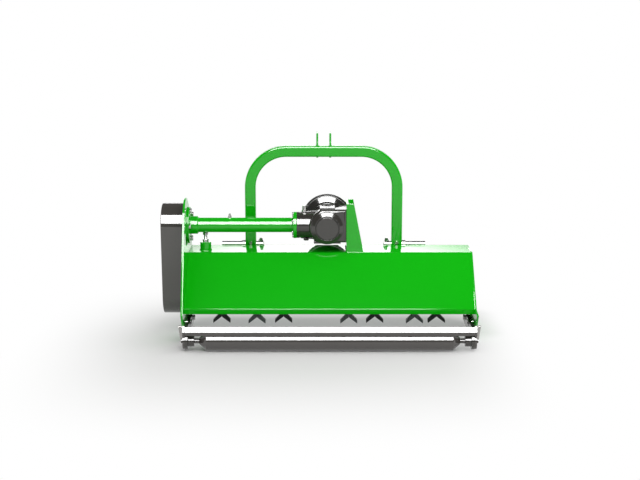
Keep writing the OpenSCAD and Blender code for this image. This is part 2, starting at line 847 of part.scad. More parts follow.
// Flange bearing of the right-hand side, on the inside of its plate
module rotor_bearing() {
    difference() {
        union() {
            x_rod(flange_bearing_r, half_inner - flange_bearing_t, half_inner, rotor_c);
            x_rod(hub_bearing_r, half_inner - bearing_depth, half_inner, rotor_c);
        }
        x_rod(stub_r + run_gap, half_inner - bearing_depth - cut, half_inner + cut, rotor_c);
        for (c = bearing_bolt_places)
            x_rod(m12_r + bolt_gap, half_inner - flange_bearing_t - cut, half_inner + cut, c);
    }
}

module rotor_bearings() {
    color("dimgray") placed() mirrored() rotor_bearing();
}

module rotor_end_cap() {
    color("dimgray") placed() difference() {
        x_rod(end_cap_r, half_outer, half_outer + end_cap_t, rotor_c);
        x_rod(stub_r + cut, half_outer - cut, half_outer + end_cap_t / 2, rotor_c);
    }
}

// Rod of the front flaps with the tabs that hang it from the front panel
module flap_rod() {
    slope = front_foot - front_along * tab_grip;
    outline = [slope, flap_rod_c + [tab_r, tab_r], flap_rod_c + [tab_r, -tab_r],
        flap_rod_c + [-tab_foot, -tab_r], front_foot];
    color("limegreen") placed() {
        x_rod(flap_rod_r, -half_inner, half_inner, flap_rod_c);
        for (i = [0:flap_count]) along_x(-half_inner + i * flap_pitch, tab_t) polygon(outline);
    }
}

module flap(i) {
    x = -half_inner + i * flap_pitch + tab_t + pass_gap;
    w = flap_pitch - tab_t - 2 * pass_gap;
    color("limegreen") placed() difference() {
        union() {
            x_rod(flap_eye_r, x, x + w, flap_rod_c);
            translate([x, flap_rod_c[0] - flap_t / 2, flap_rod_c[1] - flap_length])
                cube([w, flap_t, flap_length]);
        }
        x_rod(flap_rod_r + bolt_gap, x - cut, x + w + cut, flap_rod_c);
    }
}

module m12_bolts() {
    color("silver") placed() {
        for (c = bracket_bolt_places)
            x_bolt(m12_r, bracket_face + bracket_t, c, 4 * m12_r + bracket_t - cut, false, -1);
        for (c = pad_bolt_places)
            x_bolt(m12_r, -half_inner + pad_t, c, pad_t + plate_t, true, -1);
        for (c = bearing_bolt_places) mirrored()
            x_bolt(m12_r, half_inner - flange_bearing_t, c, plate_t + flange_bearing_t, true, 1);
        for (c = arm_bolt_places) mirrored() {
            x_bolt(m12_r, arm_face - pass_gap, c, half_outer - arm_face + pass_gap, true, 1);
            x_rod(2 * m12_r, half_inner - arm_gap + pass_gap, half_inner, c);
        }
    }
}

module m8_bolts() {
    leg_x = mast_width / 2 - mast_tube / 2;
    color("silver") placed() {
        for (side = [-1, 1])
            translate([mast_x + side * leg_x, leg_y, lock_height]) rotate([-90, 0, 0])
                hex_bolt(m8_r, mast_tube, true);
        for (c = flange_bolt_places)
            x_bolt(m8_r, tube_right, c, flange_t + 4 * m8_r - cut, false, 1);
        for (c = case_bolt_places)
            x_bolt(m8_r, -half_outer - case_depth, c, case_wall, true, 1);
    }
}

module input_shaft() {
    color("silver") placed() difference() {
        union() {
            y_rod(shaft_r, drive_y + shaft_r + 2 * tooth_depth, boss_front, gear_x, drive_z);
            y_rod(spline_root_r, boss_front, boss_front + spline_length, gear_x, drive_z);
            translate([gear_x, boss_front, drive_z]) rotate([-90, 0, 0]) intersection() {
                cylinder(r = spline_r, h = spline_length);
                union() for (i = [0:spline_count / 2 - 1])
                    rotate([0, 0, 360 * i / spline_count]) translate([-spline_r, -spline_w / 2, 0])
                        cube([2 * spline_r, spline_w, spline_length]);
            }
        }
        translate([gear_x, boss_front + spline_length * 3 / 4, drive_z]) rotate([-90, 0, 0]) rotate_extrude()
            translate([spline_r + tooth_depth / 2, 0]) circle(r = tooth_depth);
    }
}

// Bevel gear about +Z with its cone's point at zero; share is its radius to its distance from that point
module bevel(r, share, face, bore, teeth, hub) {
    gap = tooth_gap;
    back = r / share;
    inner = (r - face) / share;
    difference() {
        rotate_extrude() polygon([[bore, inner + hub], [r - face, inner + gap], [r, back + gap],
            [r, back + face / 4 + gap], [bore, back + face / 4 + gap]]);
        for (i = [0:teeth - 1]) rotate([0, 0, 360 * i / teeth])
            translate([r - face / 2, 0, (back + inner) / 2]) rotate([0, -atan(1 / share), 0])
                cube([3 * face, PI * r / teeth * gear_ratio_share, 2 * tooth_depth], center = true);
    }
}

module input_gear() {
    color("silver") placed() translate([gear_x, drive_y, drive_z]) rotate([-90, 0, 0])
        bevel(gear_r, 1 / gear_ratio_share, gear_face, shaft_r, gear_teeth, 2 * tooth_depth);
}

module output_shaft() {
    color("silver") placed()
        x_rod(shaft_r, pulley_x - pulley_hub, bracket_face - gear_wall - cut, drive_c);
}

module output_pinion() {
    color("silver") placed() translate([gear_x, drive_y, drive_z]) rotate([0, 90, 0])
        bevel(gear_r * gear_ratio_share, gear_ratio_share, gear_face * gear_ratio_share, shaft_r,
            pinion_teeth, 0);
}

module rotor_drum() {
    color("dimgray") placed() {
        x_rod(drum_r, -drum_half, drum_half, rotor_c);
        x_rod(stub_r, pulley_x - pulley_hub, half_outer, rotor_c);
    }
}

function row_angle(i) = row_start_angle + row_step_angle * knife_rows[i];
function knife_x(i) = work_width * knife_place_shares[i];
function lean(i) = let (a = (270 - row_angle(i) + 900) % 360 - 180) max(-knife_swing, min(knife_swing, a));
function pivot(i) = rotor_c + polar(pivot_r, row_angle(i));

module rotor_lugs() {
    apart = knife_gap / 2 + knife_t + pass_gap;
    color("dimgray") placed() difference() {
        for (i = [0:len(knife_rows) - 1]) translate([knife_x(i), rotor_y, rotor_z])
            rotate([row_angle(i), 0, 0]) mirrored() difference() {
                along_x(apart, lug_t) {
                    translate([pivot_r, 0]) circle(r = lug_r);
                    polygon([[0, -lug_foot], [pivot_r, -lug_r], [pivot_r, lug_r], [0, lug_foot]]);
                }
                x_rod(knife_bolt_r, apart - cut, apart + lug_t + cut, [pivot_r, 0]);
            }
        x_rod(drum_r, -half_inner, half_inner, rotor_c);
    }
}

module knife_bolts() {
    reach = knife_gap / 2 + knife_t + pass_gap + lug_t;
    color("silver") placed() for (i = [0:len(knife_rows) - 1]) {
        x_rod(knife_bolt_r, knife_x(i) - reach, knife_x(i) + reach, pivot(i));
        for (way = [-1, 1])
            translate([knife_x(i) + way * reach, pivot(i)[0], pivot(i)[1]]) rotate([0, 90 * way, 0])
                cylinder(r = lug_r * 3 / 4, h = lug_t, $fn = 6);
    }
}

// One blade of a knife pair, hanging from its bolt at zero
module blade() {
    near = knife_gap / 2;
    far = near + knife_t;
    tip = knife_spread / 2;
    half = knife_w / 2;
    difference() {
        intersection() {
            along_y(-half, knife_w)
                polygon([[near, half], [far, half], [far, -knife_shoulder], [tip, knife_lip - knife_length],
                    [tip, -knife_length], [near, -knife_crotch]]);
            along_x(near, tip) {
                circle(r = half);
                translate([-half, -knife_length]) square([knife_w, knife_length]);
            }
        }
        x_rod(knife_bolt_r + bolt_gap, near - cut, far + cut, [0, 0]);
    }
}

module knife(i) {
    color("dimgray") placed() translate([knife_x(i), pivot(i)[0], pivot(i)[1]])
        rotate([row_angle(i) + lean(i) - 270, 0, 0]) mirrored() blade();
}

module roller() {
    half = roller_half;
    tip = half + cone_length;
    end = arm_face - pass_gap;
    color("dimgray") placed() translate([0, -roller_back, roller_r]) rotate([0, 90, 0]) rotate_extrude()
        polygon([[0, -end], [roller_shaft_r, -end], [roller_shaft_r, -tip], [cone_end_r, -tip],
            [roller_r, -half], [roller_r, half], [cone_end_r, tip], [roller_shaft_r, tip],
            [roller_shaft_r, end], [0, end]]);
}

// Plate of a roller arm: round eye at the roller, nose at the pivot, slot at the clamp bolt
module arm_plate() {
    side = left_of(arm_pivot, roller_c);
    nose = arm_nose_r * arm_web_share;
    eye = arm_eye_r * arm_web_share;
    difference() {
        union() {
            translate(arm_pivot) circle(r = arm_nose_r);
            translate(roller_c) circle(r = arm_eye_r);
            polygon([arm_pivot + side * nose, roller_c + side * eye, roller_c - side * eye,
                arm_pivot - side * nose]);
            polygon(concat([roller_c - [eye / 2, 0]], reversed(bar_path), [roller_c + [eye / 2, 0]]));
        }
        translate(arm_pivot) circle(r = m12_r + bolt_gap);
        arm_slot();
    }
}

// Slot on an arc about the pivot, as long as the arms tilt
module arm_slot() {
    sweep = [for (i = [-bend_steps:bend_steps]) arm_clamp_angle + arm_tilt * i / bend_steps];
    low = sweep[0];
    high = sweep[2 * bend_steps];
    round_end = [for (i = [1:bend_steps - 1]) 180 * i / bend_steps];
    translate(arm_pivot) polygon(concat([for (a = sweep) polar(arm_clamp + slot_r, a)],
        [for (a = round_end) polar(arm_clamp, high) + polar(slot_r, high + a)],
        [for (a = reversed(sweep)) polar(arm_clamp - slot_r, a)],
        [for (a = round_end) polar(arm_clamp, low) - polar(slot_r, low + a)]));
}

// Right-hand roller arm with the clip under the end of the scraper bar
module roller_arm() {
    along_x(arm_face, arm_t) arm_plate();
    x_rod(roller_nut_r, arm_face + arm_t, arm_face + arm_t + roller_nut_t, roller_c);
    along_x(bar_half - clip_lap, arm_face - bar_half + clip_lap) strip(moved(bar_path, bar_t), bar_t);
}

module roller_arm_left() {
    color("dimgray") placed() mirror([1, 0, 0]) roller_arm();
}

module roller_arm_right() {
    color("dimgray") placed() roller_arm();
}

module roller_bearings() {
    color("dimgray") placed() mirrored() difference() {
        union() {
            x_rod(roller_flange_r, arm_face - roller_flange_t, arm_face, roller_c);
            x_rod(roller_boss_r, arm_face - roller_bearing_length, arm_face, roller_c);
        }
        x_rod(roller_shaft_r + run_gap, arm_face - roller_bearing_length - cut, arm_face + cut, roller_c);
    }
}

module scraper_bar() {
    color("silver") placed() along_x(-bar_half, 2 * bar_half) strip(bar_path, bar_t);
}

hood_sheet();
left_side_plate();
right_side_plate();
skids();
headstock_tube();
top_link_plates();
hitch_pin_left();
hitch_pin_right();
linch_pins();
gearbox_housing();
gearbox_rear_cover();
gearbox_bearings();
gearbox_bracket();
breather_plug();
pto_guard();
drive_tube();
grease_nipple();
tension_post();
belt_cover();
v_belts();
rotor_bearings();
rotor_end_cap();
flap_rod();
tension_nut();
m12_bolts();
m8_bolts();
input_shaft();
input_gear();
output_shaft();
output_pinion();
drive_pulley();
rotor_drum();
rotor_lugs();
knife_bolts();
rotor_pulley();
roller();
roller_arm_left();
roller_arm_right();
roller_bearings();
scraper_bar();
tension_bolt();
linch_ring_left();
linch_ring_right();
for (i = [0:len(knife_rows) - 1])
    knife(i);
for (i = [0:flap_count - 1])
    flap(i);
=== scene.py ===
import json
import math

import bmesh
import bpy
import numpy as np
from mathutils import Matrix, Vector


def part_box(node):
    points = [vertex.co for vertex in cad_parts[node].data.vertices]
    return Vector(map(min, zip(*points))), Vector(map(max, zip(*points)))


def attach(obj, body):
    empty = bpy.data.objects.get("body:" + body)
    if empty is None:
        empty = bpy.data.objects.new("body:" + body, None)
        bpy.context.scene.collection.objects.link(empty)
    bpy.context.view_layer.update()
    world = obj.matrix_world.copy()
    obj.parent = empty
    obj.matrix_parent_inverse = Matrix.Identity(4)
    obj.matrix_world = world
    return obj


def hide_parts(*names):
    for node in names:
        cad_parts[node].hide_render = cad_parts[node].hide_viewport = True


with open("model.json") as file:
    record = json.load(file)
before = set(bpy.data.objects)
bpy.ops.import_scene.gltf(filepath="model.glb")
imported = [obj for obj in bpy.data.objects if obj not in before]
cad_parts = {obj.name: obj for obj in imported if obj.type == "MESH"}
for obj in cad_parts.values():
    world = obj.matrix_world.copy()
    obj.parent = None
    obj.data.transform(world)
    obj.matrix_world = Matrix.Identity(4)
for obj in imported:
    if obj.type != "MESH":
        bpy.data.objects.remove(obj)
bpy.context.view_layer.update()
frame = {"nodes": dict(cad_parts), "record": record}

scene = bpy.context.scene
scene.view_settings.view_transform = "Standard"
mergeGap = 1e-6    # points closer than this are one point
axleHole = 0.0001    # a turned section ends this far from its axis


# plain shapes

def millimetres(*values):
    return np.array(values) / 1000


def unit(v):
    return v / np.linalg.norm(v, axis=-1, keepdims=True)


def boxSides(u0, v0, u1, v1):
    return np.array([[u0, v0], [u1, v0], [u1, v1], [u0, v1]])


def filleted(corners, radius, steps=6, support=0.0004):
    # closed outline whose corners are arcs: each arc turns from one side's tangent point to the next one's,
    # with a support point just before and after it
    p = np.asarray(corners, float)
    r = np.broadcast_to(np.asarray(radius, float), len(p))[:, None]
    u = unit(np.roll(p, 1, 0) - p)
    v = unit(np.roll(p, -1, 0) - p)
    half = np.arccos(np.clip((u * v).sum(1, keepdims=True), -1, 1)) / 2
    start = p + u * r / np.tan(half)
    end = p + v * r / np.tan(half)
    centre = p + unit(u + v) * r / np.sin(half)
    turn = (math.pi - 2 * half)[:, None, :]
    t = np.linspace(0, 1, steps + 1)[None, :, None]
    arc = np.sin((1 - t) * turn) * (start - centre)[:, None] + np.sin(t * turn) * (end - centre)[:, None]
    arc = centre[:, None] + arc / np.sin(turn)
    before = (start + u * support)[:, None]
    after = (end + v * support)[:, None]
    return np.concatenate([before, arc, after], 1).reshape(-1, 2)


def inset(outline, distance, leastCosine=0.5):
    # each point moves inwards along the mean normal of its two sides, for a counterclockwise outline
    side = unit(np.roll(outline, -1, 0) - outline)
    normal = np.stack([-side[:, 1], side[:, 0]], 1)
    mean = unit(normal + np.roll(normal, 1, 0))
    stretch = np.clip((mean * normal).sum(1, keepdims=True), leastCosine, 1)
    return outline + mean * distance / stretch


def area(outline):
    # half the sum of the cross products of neighbouring points
    nxt = np.roll(outline, -1, 0)
    return 0.5 * (outline[:, 0] * nxt[:, 1] - nxt[:, 0] * outline[:, 1]).sum()


def counterclockwise(outline):
    return outline if area(outline) > 0 else outline[::-1].copy()


def gridFaces(rows, cols, closeRows, closeCols):
    # quads between neighbouring points of a grid, round the ends where it closes
    i = np.arange(rows if closeRows else rows - 1)[:, None]
    j = np.arange(cols if closeCols else cols - 1)[None, :]
    i2 = (i + 1) % rows
    j2 = (j + 1) % cols
    quads = np.stack([i * cols + j, i2 * cols + j, i2 * cols + j2, i * cols + j2], -1)
    return quads.reshape(-1, 4)


class Shape:
    def __init__(self):
        self.points = []
        self.faces = []
        self.count = 0

    def grid(self, points, closeRows=False, closeCols=False, caps=()):
        # points is rows x cols x 3; caps names the first or last row, closed by one flat face
        rows, cols = points.shape[:2]
        quads = gridFaces(rows, cols, closeRows, closeCols) + self.count
        self.faces += quads.tolist()
        row = np.arange(cols) + self.count
        if "first" in caps:
            self.faces.append(row.tolist())
        if "last" in caps:
            self.faces.append((row + (rows - 1) * cols)[::-1].tolist())
        self.points.append(points.reshape(-1, 3))
        self.count += rows * cols
        return self

    def piece(self, name, smooth=True, sharp=32):
        # sharp is the angle, in degrees, past which an edge isn't shaded smooth
        mesh = bpy.data.meshes.new(name)
        mesh.from_pydata(np.concatenate(self.points).tolist(), [], self.faces)
        mesh.validate()
        mesh.update()
        mesh.polygons.foreach_set("use_smooth", np.full(len(mesh.polygons), smooth))
        obj = bpy.data.objects.new(name, mesh)
        scene.collection.objects.link(obj)
        outward(obj)
        obj.data.set_sharp_from_angle(angle=math.radians(sharp))
        return obj


def outward(obj):
    # merges doubled points and turns every closed part's faces outwards
    bm = bmesh.new()
    bm.from_mesh(obj.data)
    bmesh.ops.remove_doubles(bm, verts=bm.verts, dist=mergeGap)
    bmesh.ops.recalc_face_normals(bm, faces=bm.faces)
    bm.to_mesh(obj.data)
    bm.free()


def across(flat, t, axis="X"):
    # flat outline set at one place along an axis for each ring
    t = np.broadcast_to(np.asarray(t, float), flat.shape[:-1])
    u, v = flat[..., 0], flat[..., 1]
    return np.stack({"X": (t, u, v), "Y": (u, t, v), "Z": (u, v, t)}[axis], -1)


def turned(along, radius, angle, axis, centre):
    # points at a distance along an axis, and at a radius and an angle round it
    first = radius * np.cos(angle)
    second = radius * np.sin(angle)
    order = {"X": (along, first, second), "Y": (second, along, first), "Z": (first, second, along)}[axis]
    return np.stack(order, -1) + np.asarray(centre, float)


def plate(shape, outline, start, end, radius, steps=4, axis="X"):
    # slab between two planes: its rim is carried round a quarter circle at each face
    outline = counterclockwise(outline)
    a = np.linspace(0, math.pi / 2, steps + 1)
    insets = radius * np.concatenate([1 - np.sin(a), 1 - np.cos(a)])
    places = np.concatenate([start + radius * (1 - np.cos(a)), end - radius * (1 - np.sin(a))])
    rings = np.stack([inset(outline, d) for d in insets])
    points = across(rings, places[:, None], axis)
    return shape.grid(points, closeCols=True, caps=("first", "last"))


def lathe(shape, section, centre, axis, segments=96):
    # closed section of (distance along the axis, radius), turned once round the axis
    s = np.asarray(section, float)
    a = np.linspace(0, 2 * math.pi, segments, endpoint=False)[None, :]
    along = np.broadcast_to(s[:, :1], (len(s), segments))
    points = turned(along, s[:, 1:], a, axis, centre)
    return shape.grid(points, closeRows=True, closeCols=True)


def tube(shape, path, profile, up):
    # closed profile carried along a path: its first axis lies across the path and up, its second along up
    tangent = unit(np.gradient(path, axis=0))
    up = np.asarray(up, float)
    sideways = unit(np.cross(tangent, up))
    points = path[:, None] + sideways[:, None] * profile[None, :, :1] + up * profile[None, :, 1:]
    return shape.grid(points, closeCols=True, caps=("first", "last"))


def bead(shape, path, radius, pitch=0.006, perPitch=4, sides=10, ripple=0.12, taper=0.5):
    # weld bead: a round profile whose radius swells once in every pitch of its length and shrinks at both ends
    step = np.linalg.norm(np.diff(path, axis=0), axis=1)
    run = np.concatenate([[0], np.cumsum(step)])
    fine = np.linspace(0, run[-1], max(2 * perPitch, int(run[-1] / pitch * perPitch)))
    line = np.stack([np.interp(fine, run, path[:, k]) for k in range(3)], -1)
    tangent = unit(np.gradient(line, axis=0))
    alongX = np.abs(tangent[:, :1]) > 0.9    # there Z serves to find the profile's plane
    helper = np.where(alongX, [[0, 0, 1.0]], [[1.0, 0, 0]])
    first = unit(np.cross(tangent, helper))
    second = np.cross(tangent, first)
    a = np.linspace(0, 2 * math.pi, sides, endpoint=False)[None, :, None]
    swell = radius * (1 - ripple + ripple * np.cos(2 * math.pi * fine / pitch))
    swell[[0, -1]] *= taper
    points = line[:, None] + swell[:, None, None] * (np.cos(a) * first[:, None] + np.sin(a) * second[:, None])
    return shape.grid(points, closeCols=True, caps=("first", "last"))


def ring(centre, radius, axis, count=97):
    # circle round an axis
    a = 2 * math.pi * np.linspace(0, 1, count)
    flat = np.stack([radius * np.cos(a), radius * np.sin(a)], 1)
    return across(flat, 0.0, axis) + np.asarray(centre, float)


def hexPrism(shape, centre, axis, flat, low, high, chamfer=0.15, face=0.93, step=10):
    # hexagon head: six flat sides, with the far face's corners turned down to a cone
    a = np.radians(np.arange(0, 360, step))
    fold = (a + math.pi / 6) % (math.pi / 3) - math.pi / 6
    reach = flat / 2 / np.cos(fold)
    drop = (high - low) * chamfer
    radius = np.stack([reach, reach, np.full_like(a, flat / 2 * face)])
    along = np.broadcast_to(np.array([[low], [high - drop], [high]]), radius.shape)
    points = turned(along, radius, a, axis, centre)
    return shape.grid(points, closeCols=True, caps=("first", "last"))


# shader helpers

def addNode(tree, kind, **values):
    # a value's name is that of the node's property, or of its input with _ for a space
    node = tree.nodes.new(kind)
    for key, value in values.items():
        if hasattr(node, key):
            setattr(node, key, value)
        else:
            node.inputs[key.replace("_", " ")].default_value = value
    return node


def feed(tree, socket, value):
    # a number sets the socket, and an output is linked to it
    if isinstance(value, (int, float)):
        socket.default_value = value
    else:
        tree.links.new(value, socket)


def mathNode(tree, operation, first, second):
    node = addNode(tree, "ShaderNodeMath", operation=operation)
    feed(tree, node.inputs[0], first)
    feed(tree, node.inputs[1], second)
    return node.outputs[0]


def vectorNode(tree, operation, first, second=(0, 0, 0)):
    node = addNode(tree, "ShaderNodeVectorMath", operation=operation)
    tree.links.new(first, node.inputs[0])
    node.inputs[1].default_value = second
    return node.outputs["Value" if operation == "LENGTH" else "Vector"]


def mixNode(tree, factor, first, second):
    node = addNode(tree, "ShaderNodeMix", data_type="FLOAT")
    feed(tree, node.inputs["Factor"], factor)
    feed(tree, node.inputs[2], first)    # inputs 2 and 3 are the two values of a plain mix
    feed(tree, node.inputs[3], second)
    return node.outputs[0]


def smoothRamp(tree, value, start, end, low=0.0, high=1.0):
    # goes smoothly from low to high while the value goes from start to end
    node = addNode(tree, "ShaderNodeMapRange", interpolation_type="SMOOTHSTEP")
    sockets = {"Value": value, "From Min": start, "From Max": end, "To Min": low, "To Max": high}
    for name, amount in sockets.items():
        feed(tree, node.inputs[name], amount)
    return node.outputs["Result"]


def makeGroup(name, inputs, outputs):
    tree = bpy.data.node_groups.new(name, "ShaderNodeTree")
    for socket, value in inputs.items():
        kind = "NodeSocketColor" if isinstance(value, tuple) else "NodeSocketFloat"
        item = tree.interface.new_socket(socket, in_out="INPUT", socket_type=kind)
        item.default_value = value
    for socket, kind in outputs.items():
        tree.interface.new_socket(socket, in_out="OUTPUT", socket_type=kind)
    return tree, tree.nodes.new("NodeGroupInput"), tree.nodes.new("NodeGroupOutput")


def makeDrift():
    # slow change of tone over a surface: a colour moves a little between two shades, and so does a value
    tree, get, put = makeGroup("toneDrift", {"Light": (1.0, 1.0, 1.0, 1.0), "Deep": (0.0, 0.0, 0.0, 1.0),
                                             "Size": 6.0, "Rough Low": 0.2, "Rough High": 0.3},
                               {"Color": "NodeSocketColor", "Roughness": "NodeSocketFloat"})
    coords = addNode(tree, "ShaderNodeTexCoord")
    noise = addNode(tree, "ShaderNodeTexNoise", Detail=4.0, Roughness=0.55)
    tree.links.new(coords.outputs["Object"], noise.inputs["Vector"])
    tree.links.new(get.outputs["Size"], noise.inputs["Scale"])
    mix = addNode(tree, "ShaderNodeMix", data_type="RGBA")
    tree.links.new(noise.outputs["Fac"], mix.inputs["Factor"])
    tree.links.new(get.outputs["Light"], mix.inputs[6])    # inputs 6 and 7 and output 2 are a mix's colours
    tree.links.new(get.outputs["Deep"], mix.inputs[7])
    spread = mathNode(tree, "SUBTRACT", get.outputs["Rough High"], get.outputs["Rough Low"])
    scaled = mathNode(tree, "MULTIPLY", spread, noise.outputs["Fac"])
    rough = mathNode(tree, "ADD", scaled, get.outputs["Rough Low"])
    tree.links.new(mix.outputs[2], put.inputs["Color"])
    tree.links.new(rough, put.inputs["Roughness"])
    return tree


def makePeel():
    # fine waviness of sprayed paint or the grain of a casting, as a height
    tree, get, put = makeGroup("sprayPeel", {"Size": 300.0, "Grain": 0.5}, {"Height": "NodeSocketFloat"})
    coords = addNode(tree, "ShaderNodeTexCoord")
    noise = addNode(tree, "ShaderNodeTexNoise", Detail=2.0)
    tree.links.new(coords.outputs["Object"], noise.inputs["Vector"])
    tree.links.new(get.outputs["Size"], noise.inputs["Scale"])
    tree.links.new(get.outputs["Grain"], noise.inputs["Roughness"])
    tree.links.new(noise.outputs["Fac"], put.inputs["Height"])
    return tree


def makeLines():
    # turning or grinding lines: noise stretched along one axis, as a height
    tree, get, put = makeGroup("machineLines", {"Along": 4.0, "Across": 900.0}, {"Height": "NodeSocketFloat"})
    coords = addNode(tree, "ShaderNodeTexCoord")
    scale = addNode(tree, "ShaderNodeCombineXYZ")
    stretch = addNode(tree, "ShaderNodeVectorMath", operation="MULTIPLY")
    tree.links.new(get.outputs["Along"], scale.inputs["X"])
    tree.links.new(get.outputs["Across"], scale.inputs["Y"])
    tree.links.new(get.outputs["Across"], scale.inputs["Z"])
    tree.links.new(coords.outputs["Object"], stretch.inputs[0])
    tree.links.new(scale.outputs[0], stretch.inputs[1])
    noise = addNode(tree, "ShaderNodeTexNoise", Scale=1.0, Detail=3.0)
    tree.links.new(stretch.outputs[0], noise.inputs["Vector"])
    tree.links.new(noise.outputs["Fac"], put.inputs["Height"])
    return tree


toneDrift = makeDrift()
sprayPeel = makePeel()
machineLines = makeLines()


def material(name, look, relief, bumpDepth=0.001):
    # one finish: tone drift for colour and roughness, and a relief group that bumps the surface
    mat = bpy.data.materials.new(name)
    mat.use_nodes = True
    tree = mat.node_tree
    shader = tree.nodes["Principled BSDF"]
    drift = tree.nodes.new("ShaderNodeGroup")
    drift.node_tree = toneDrift
    drift.inputs["Light"].default_value = (*look["light"], 1)
    drift.inputs["Deep"].default_value = (*look["deep"], 1)
    drift.inputs["Size"].default_value = look["size"]
    drift.inputs["Rough Low"].default_value = look["rough"][0]
    drift.inputs["Rough High"].default_value = look["rough"][1]
    tree.links.new(drift.outputs["Color"], shader.inputs["Base Color"])
    tree.links.new(drift.outputs["Roughness"], shader.inputs["Roughness"])
    shader.inputs["Metallic"].default_value = look["metal"]
    shader.inputs["Specular IOR Level"].default_value = look["specular"]
    height = tree.nodes.new("ShaderNodeGroup")
    height.node_tree = relief
    for socket, value in look["relief"].items():
        height.inputs[socket].default_value = value
    bump = addNode(tree, "ShaderNodeBump", Strength=look["bump"], Distance=bumpDepth)
    tree.links.new(height.outputs["Height"], bump.inputs["Height"])
    tree.links.new(bump.outputs["Normal"], shader.inputs["Normal"])
    return mat


greenPaint = dict(light=(0.006, 0.455, 0.006), deep=(0.004, 0.425, 0.004), size=5.0, rough=(0.08, 0.11),
                  metal=0.0, specular=0.55, bump=0.005, relief={"Size": 180.0})
sheetPaint = dict(greenPaint, specular=0.16)    # the wide hood sheet has a calmer gloss
looks = {
    "green_paint": material("greenPaint", greenPaint, sprayPeel),
    "graphite_paint": material("graphitePaint", dict(
        light=(0.062, 0.056, 0.051), deep=(0.052, 0.047, 0.043), size=7.0, rough=(0.06, 0.10), metal=0.0,
        specular=0.9, bump=0.02, relief={"Size": 320.0}), sprayPeel),
    "cast_metal": material("castMetal", dict(
        light=(0.040, 0.037, 0.032), deep=(0.028, 0.026, 0.022), size=22.0, rough=(0.10, 0.17), metal=0.0,
        specular=0.8, bump=0.06, relief={"Size": 420.0, "Grain": 0.7}), sprayPeel),
    "black_plastic": material("guardPlastic", dict(
        light=(0.030, 0.029, 0.026), deep=(0.022, 0.021, 0.019), size=9.0, rough=(0.08, 0.13), metal=0.0,
        specular=0.8, bump=0.03, relief={"Size": 500.0}), sprayPeel),
    "plated_steel": material("platedSteel", dict(
        light=(0.50, 0.50, 0.49), deep=(0.36, 0.36, 0.35), size=40.0, rough=(0.14, 0.26), metal=1.0,
        specular=0.5, bump=0.05, relief={"Size": 900.0}), sprayPeel),
    "bare_steel": material("bareSteel", dict(
        light=(0.52, 0.51, 0.49), deep=(0.36, 0.35, 0.34), size=30.0, rough=(0.20, 0.34), metal=1.0,
        specular=0.5, bump=0.08, relief={"Along": 6.0, "Across": 700.0}), machineLines),
    "blade_steel": material("bladeSteel", dict(
        light=(0.022, 0.023, 0.025), deep=(0.012, 0.013, 0.015), size=35.0, rough=(0.30, 0.48), metal=0.0,
        specular=0.4, bump=0.12, relief={"Size": 600.0, "Grain": 0.7}), sprayPeel),
    "belt_rubber": material("beltRubber", dict(
        light=(0.020, 0.020, 0.020), deep=(0.012, 0.012, 0.012), size=60.0, rough=(0.55, 0.75), metal=0.0,
        specular=0.4, bump=0.2, relief={"Size": 900.0}), sprayPeel),
}
hoodPaint = material("hoodPaint", sheetPaint, sprayPeel)
# lighter copy of the blade steel: painted light, for the far-row knives, which stand lit where the near row
# stands in shade
paintedLitBlade = material("paintedLitBlade", dict(
    light=(0.30, 0.31, 0.33), deep=(0.19, 0.20, 0.215), size=35.0, rough=(0.34, 0.50), metal=0.0,
    specular=0.4, bump=0.12, relief={"Size": 600.0, "Grain": 0.7}), sprayPeel)
slotOf = {part["node"]: part["material_slot"] for part in frame["record"]["subparts"]}
bodyOf = {node: body for body, nodes in frame["record"]["behaviour"]["bodies"].items() for node in nodes}
for node, obj in frame["nodes"].items():
    obj.data.materials.clear()
    obj.data.materials.append(looks[slotOf[node]])
print("materials on", len(frame["nodes"]), "nodes")


def place(obj, node, replaces=True, look=None):
    # a piece takes its body and finish from the node that it stands for or sits on
    slot = slotOf[node]
    obj.data.materials.append(look or looks[slot])
    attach(obj, bodyOf[node])
    if replaces:
        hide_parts(node)
    return obj


def middle(node):
    low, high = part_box(node)
    return (np.array(low) + np.array(high)) / 2


# hood of one bent sheet, from the lip at the rear to the foot of the front panel
hood = dict(panelRun=0.178, panelDrop=0.193, deckDepth=0.160, frontRun=0.076, frontDrop=0.140,
            sheet=0.006, bend=0.009, insideBend=0.003, edge=0.0012, rim=0.0004, bendSteps=8)
frontSlope = hood["frontDrop"] / hood["frontRun"]
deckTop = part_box("hood_sheet")[1].z


def makeHood():
    low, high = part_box("hood_sheet")
    crease = low.y + hood["panelRun"]
    outer = np.array([[low.y, low.z], [low.y, deckTop - hood["panelDrop"]], [crease, deckTop],
                      [crease + hood["deckDepth"], deckTop],
                      [crease + hood["deckDepth"] + hood["frontRun"], deckTop - hood["frontDrop"]]])
    # the inner line lies one sheet away from the outer one, along the mean normal at each bend
    side = unit(np.diff(outer, axis=0))
    right = np.stack([side[:, 1], -side[:, 0]], 1)
    before = np.concatenate([right[:1], right])
    after = np.concatenate([right, right[-1:]])
    mean = unit(before + after)
    inner = outer + mean * hood["sheet"] / (mean * after).sum(1, keepdims=True)
    edge = hood["edge"]
    bends = np.concatenate([[edge, r, r, r, edge] for r in (hood["bend"], hood["insideBend"])])
    outline = filleted(np.concatenate([outer, inner[::-1]]), bends, steps=hood["bendSteps"])
    shape = plate(Shape(), outline, low.x, high.x, hood["rim"])
    return place(shape.piece("hood_shell"), "hood_sheet", look=hoodPaint)


# bent square tube of the headstock
headstock = dict(side=0.045, corner=0.008, bend=0.150, bendSteps=24, lead=0.001, sink=0.002)


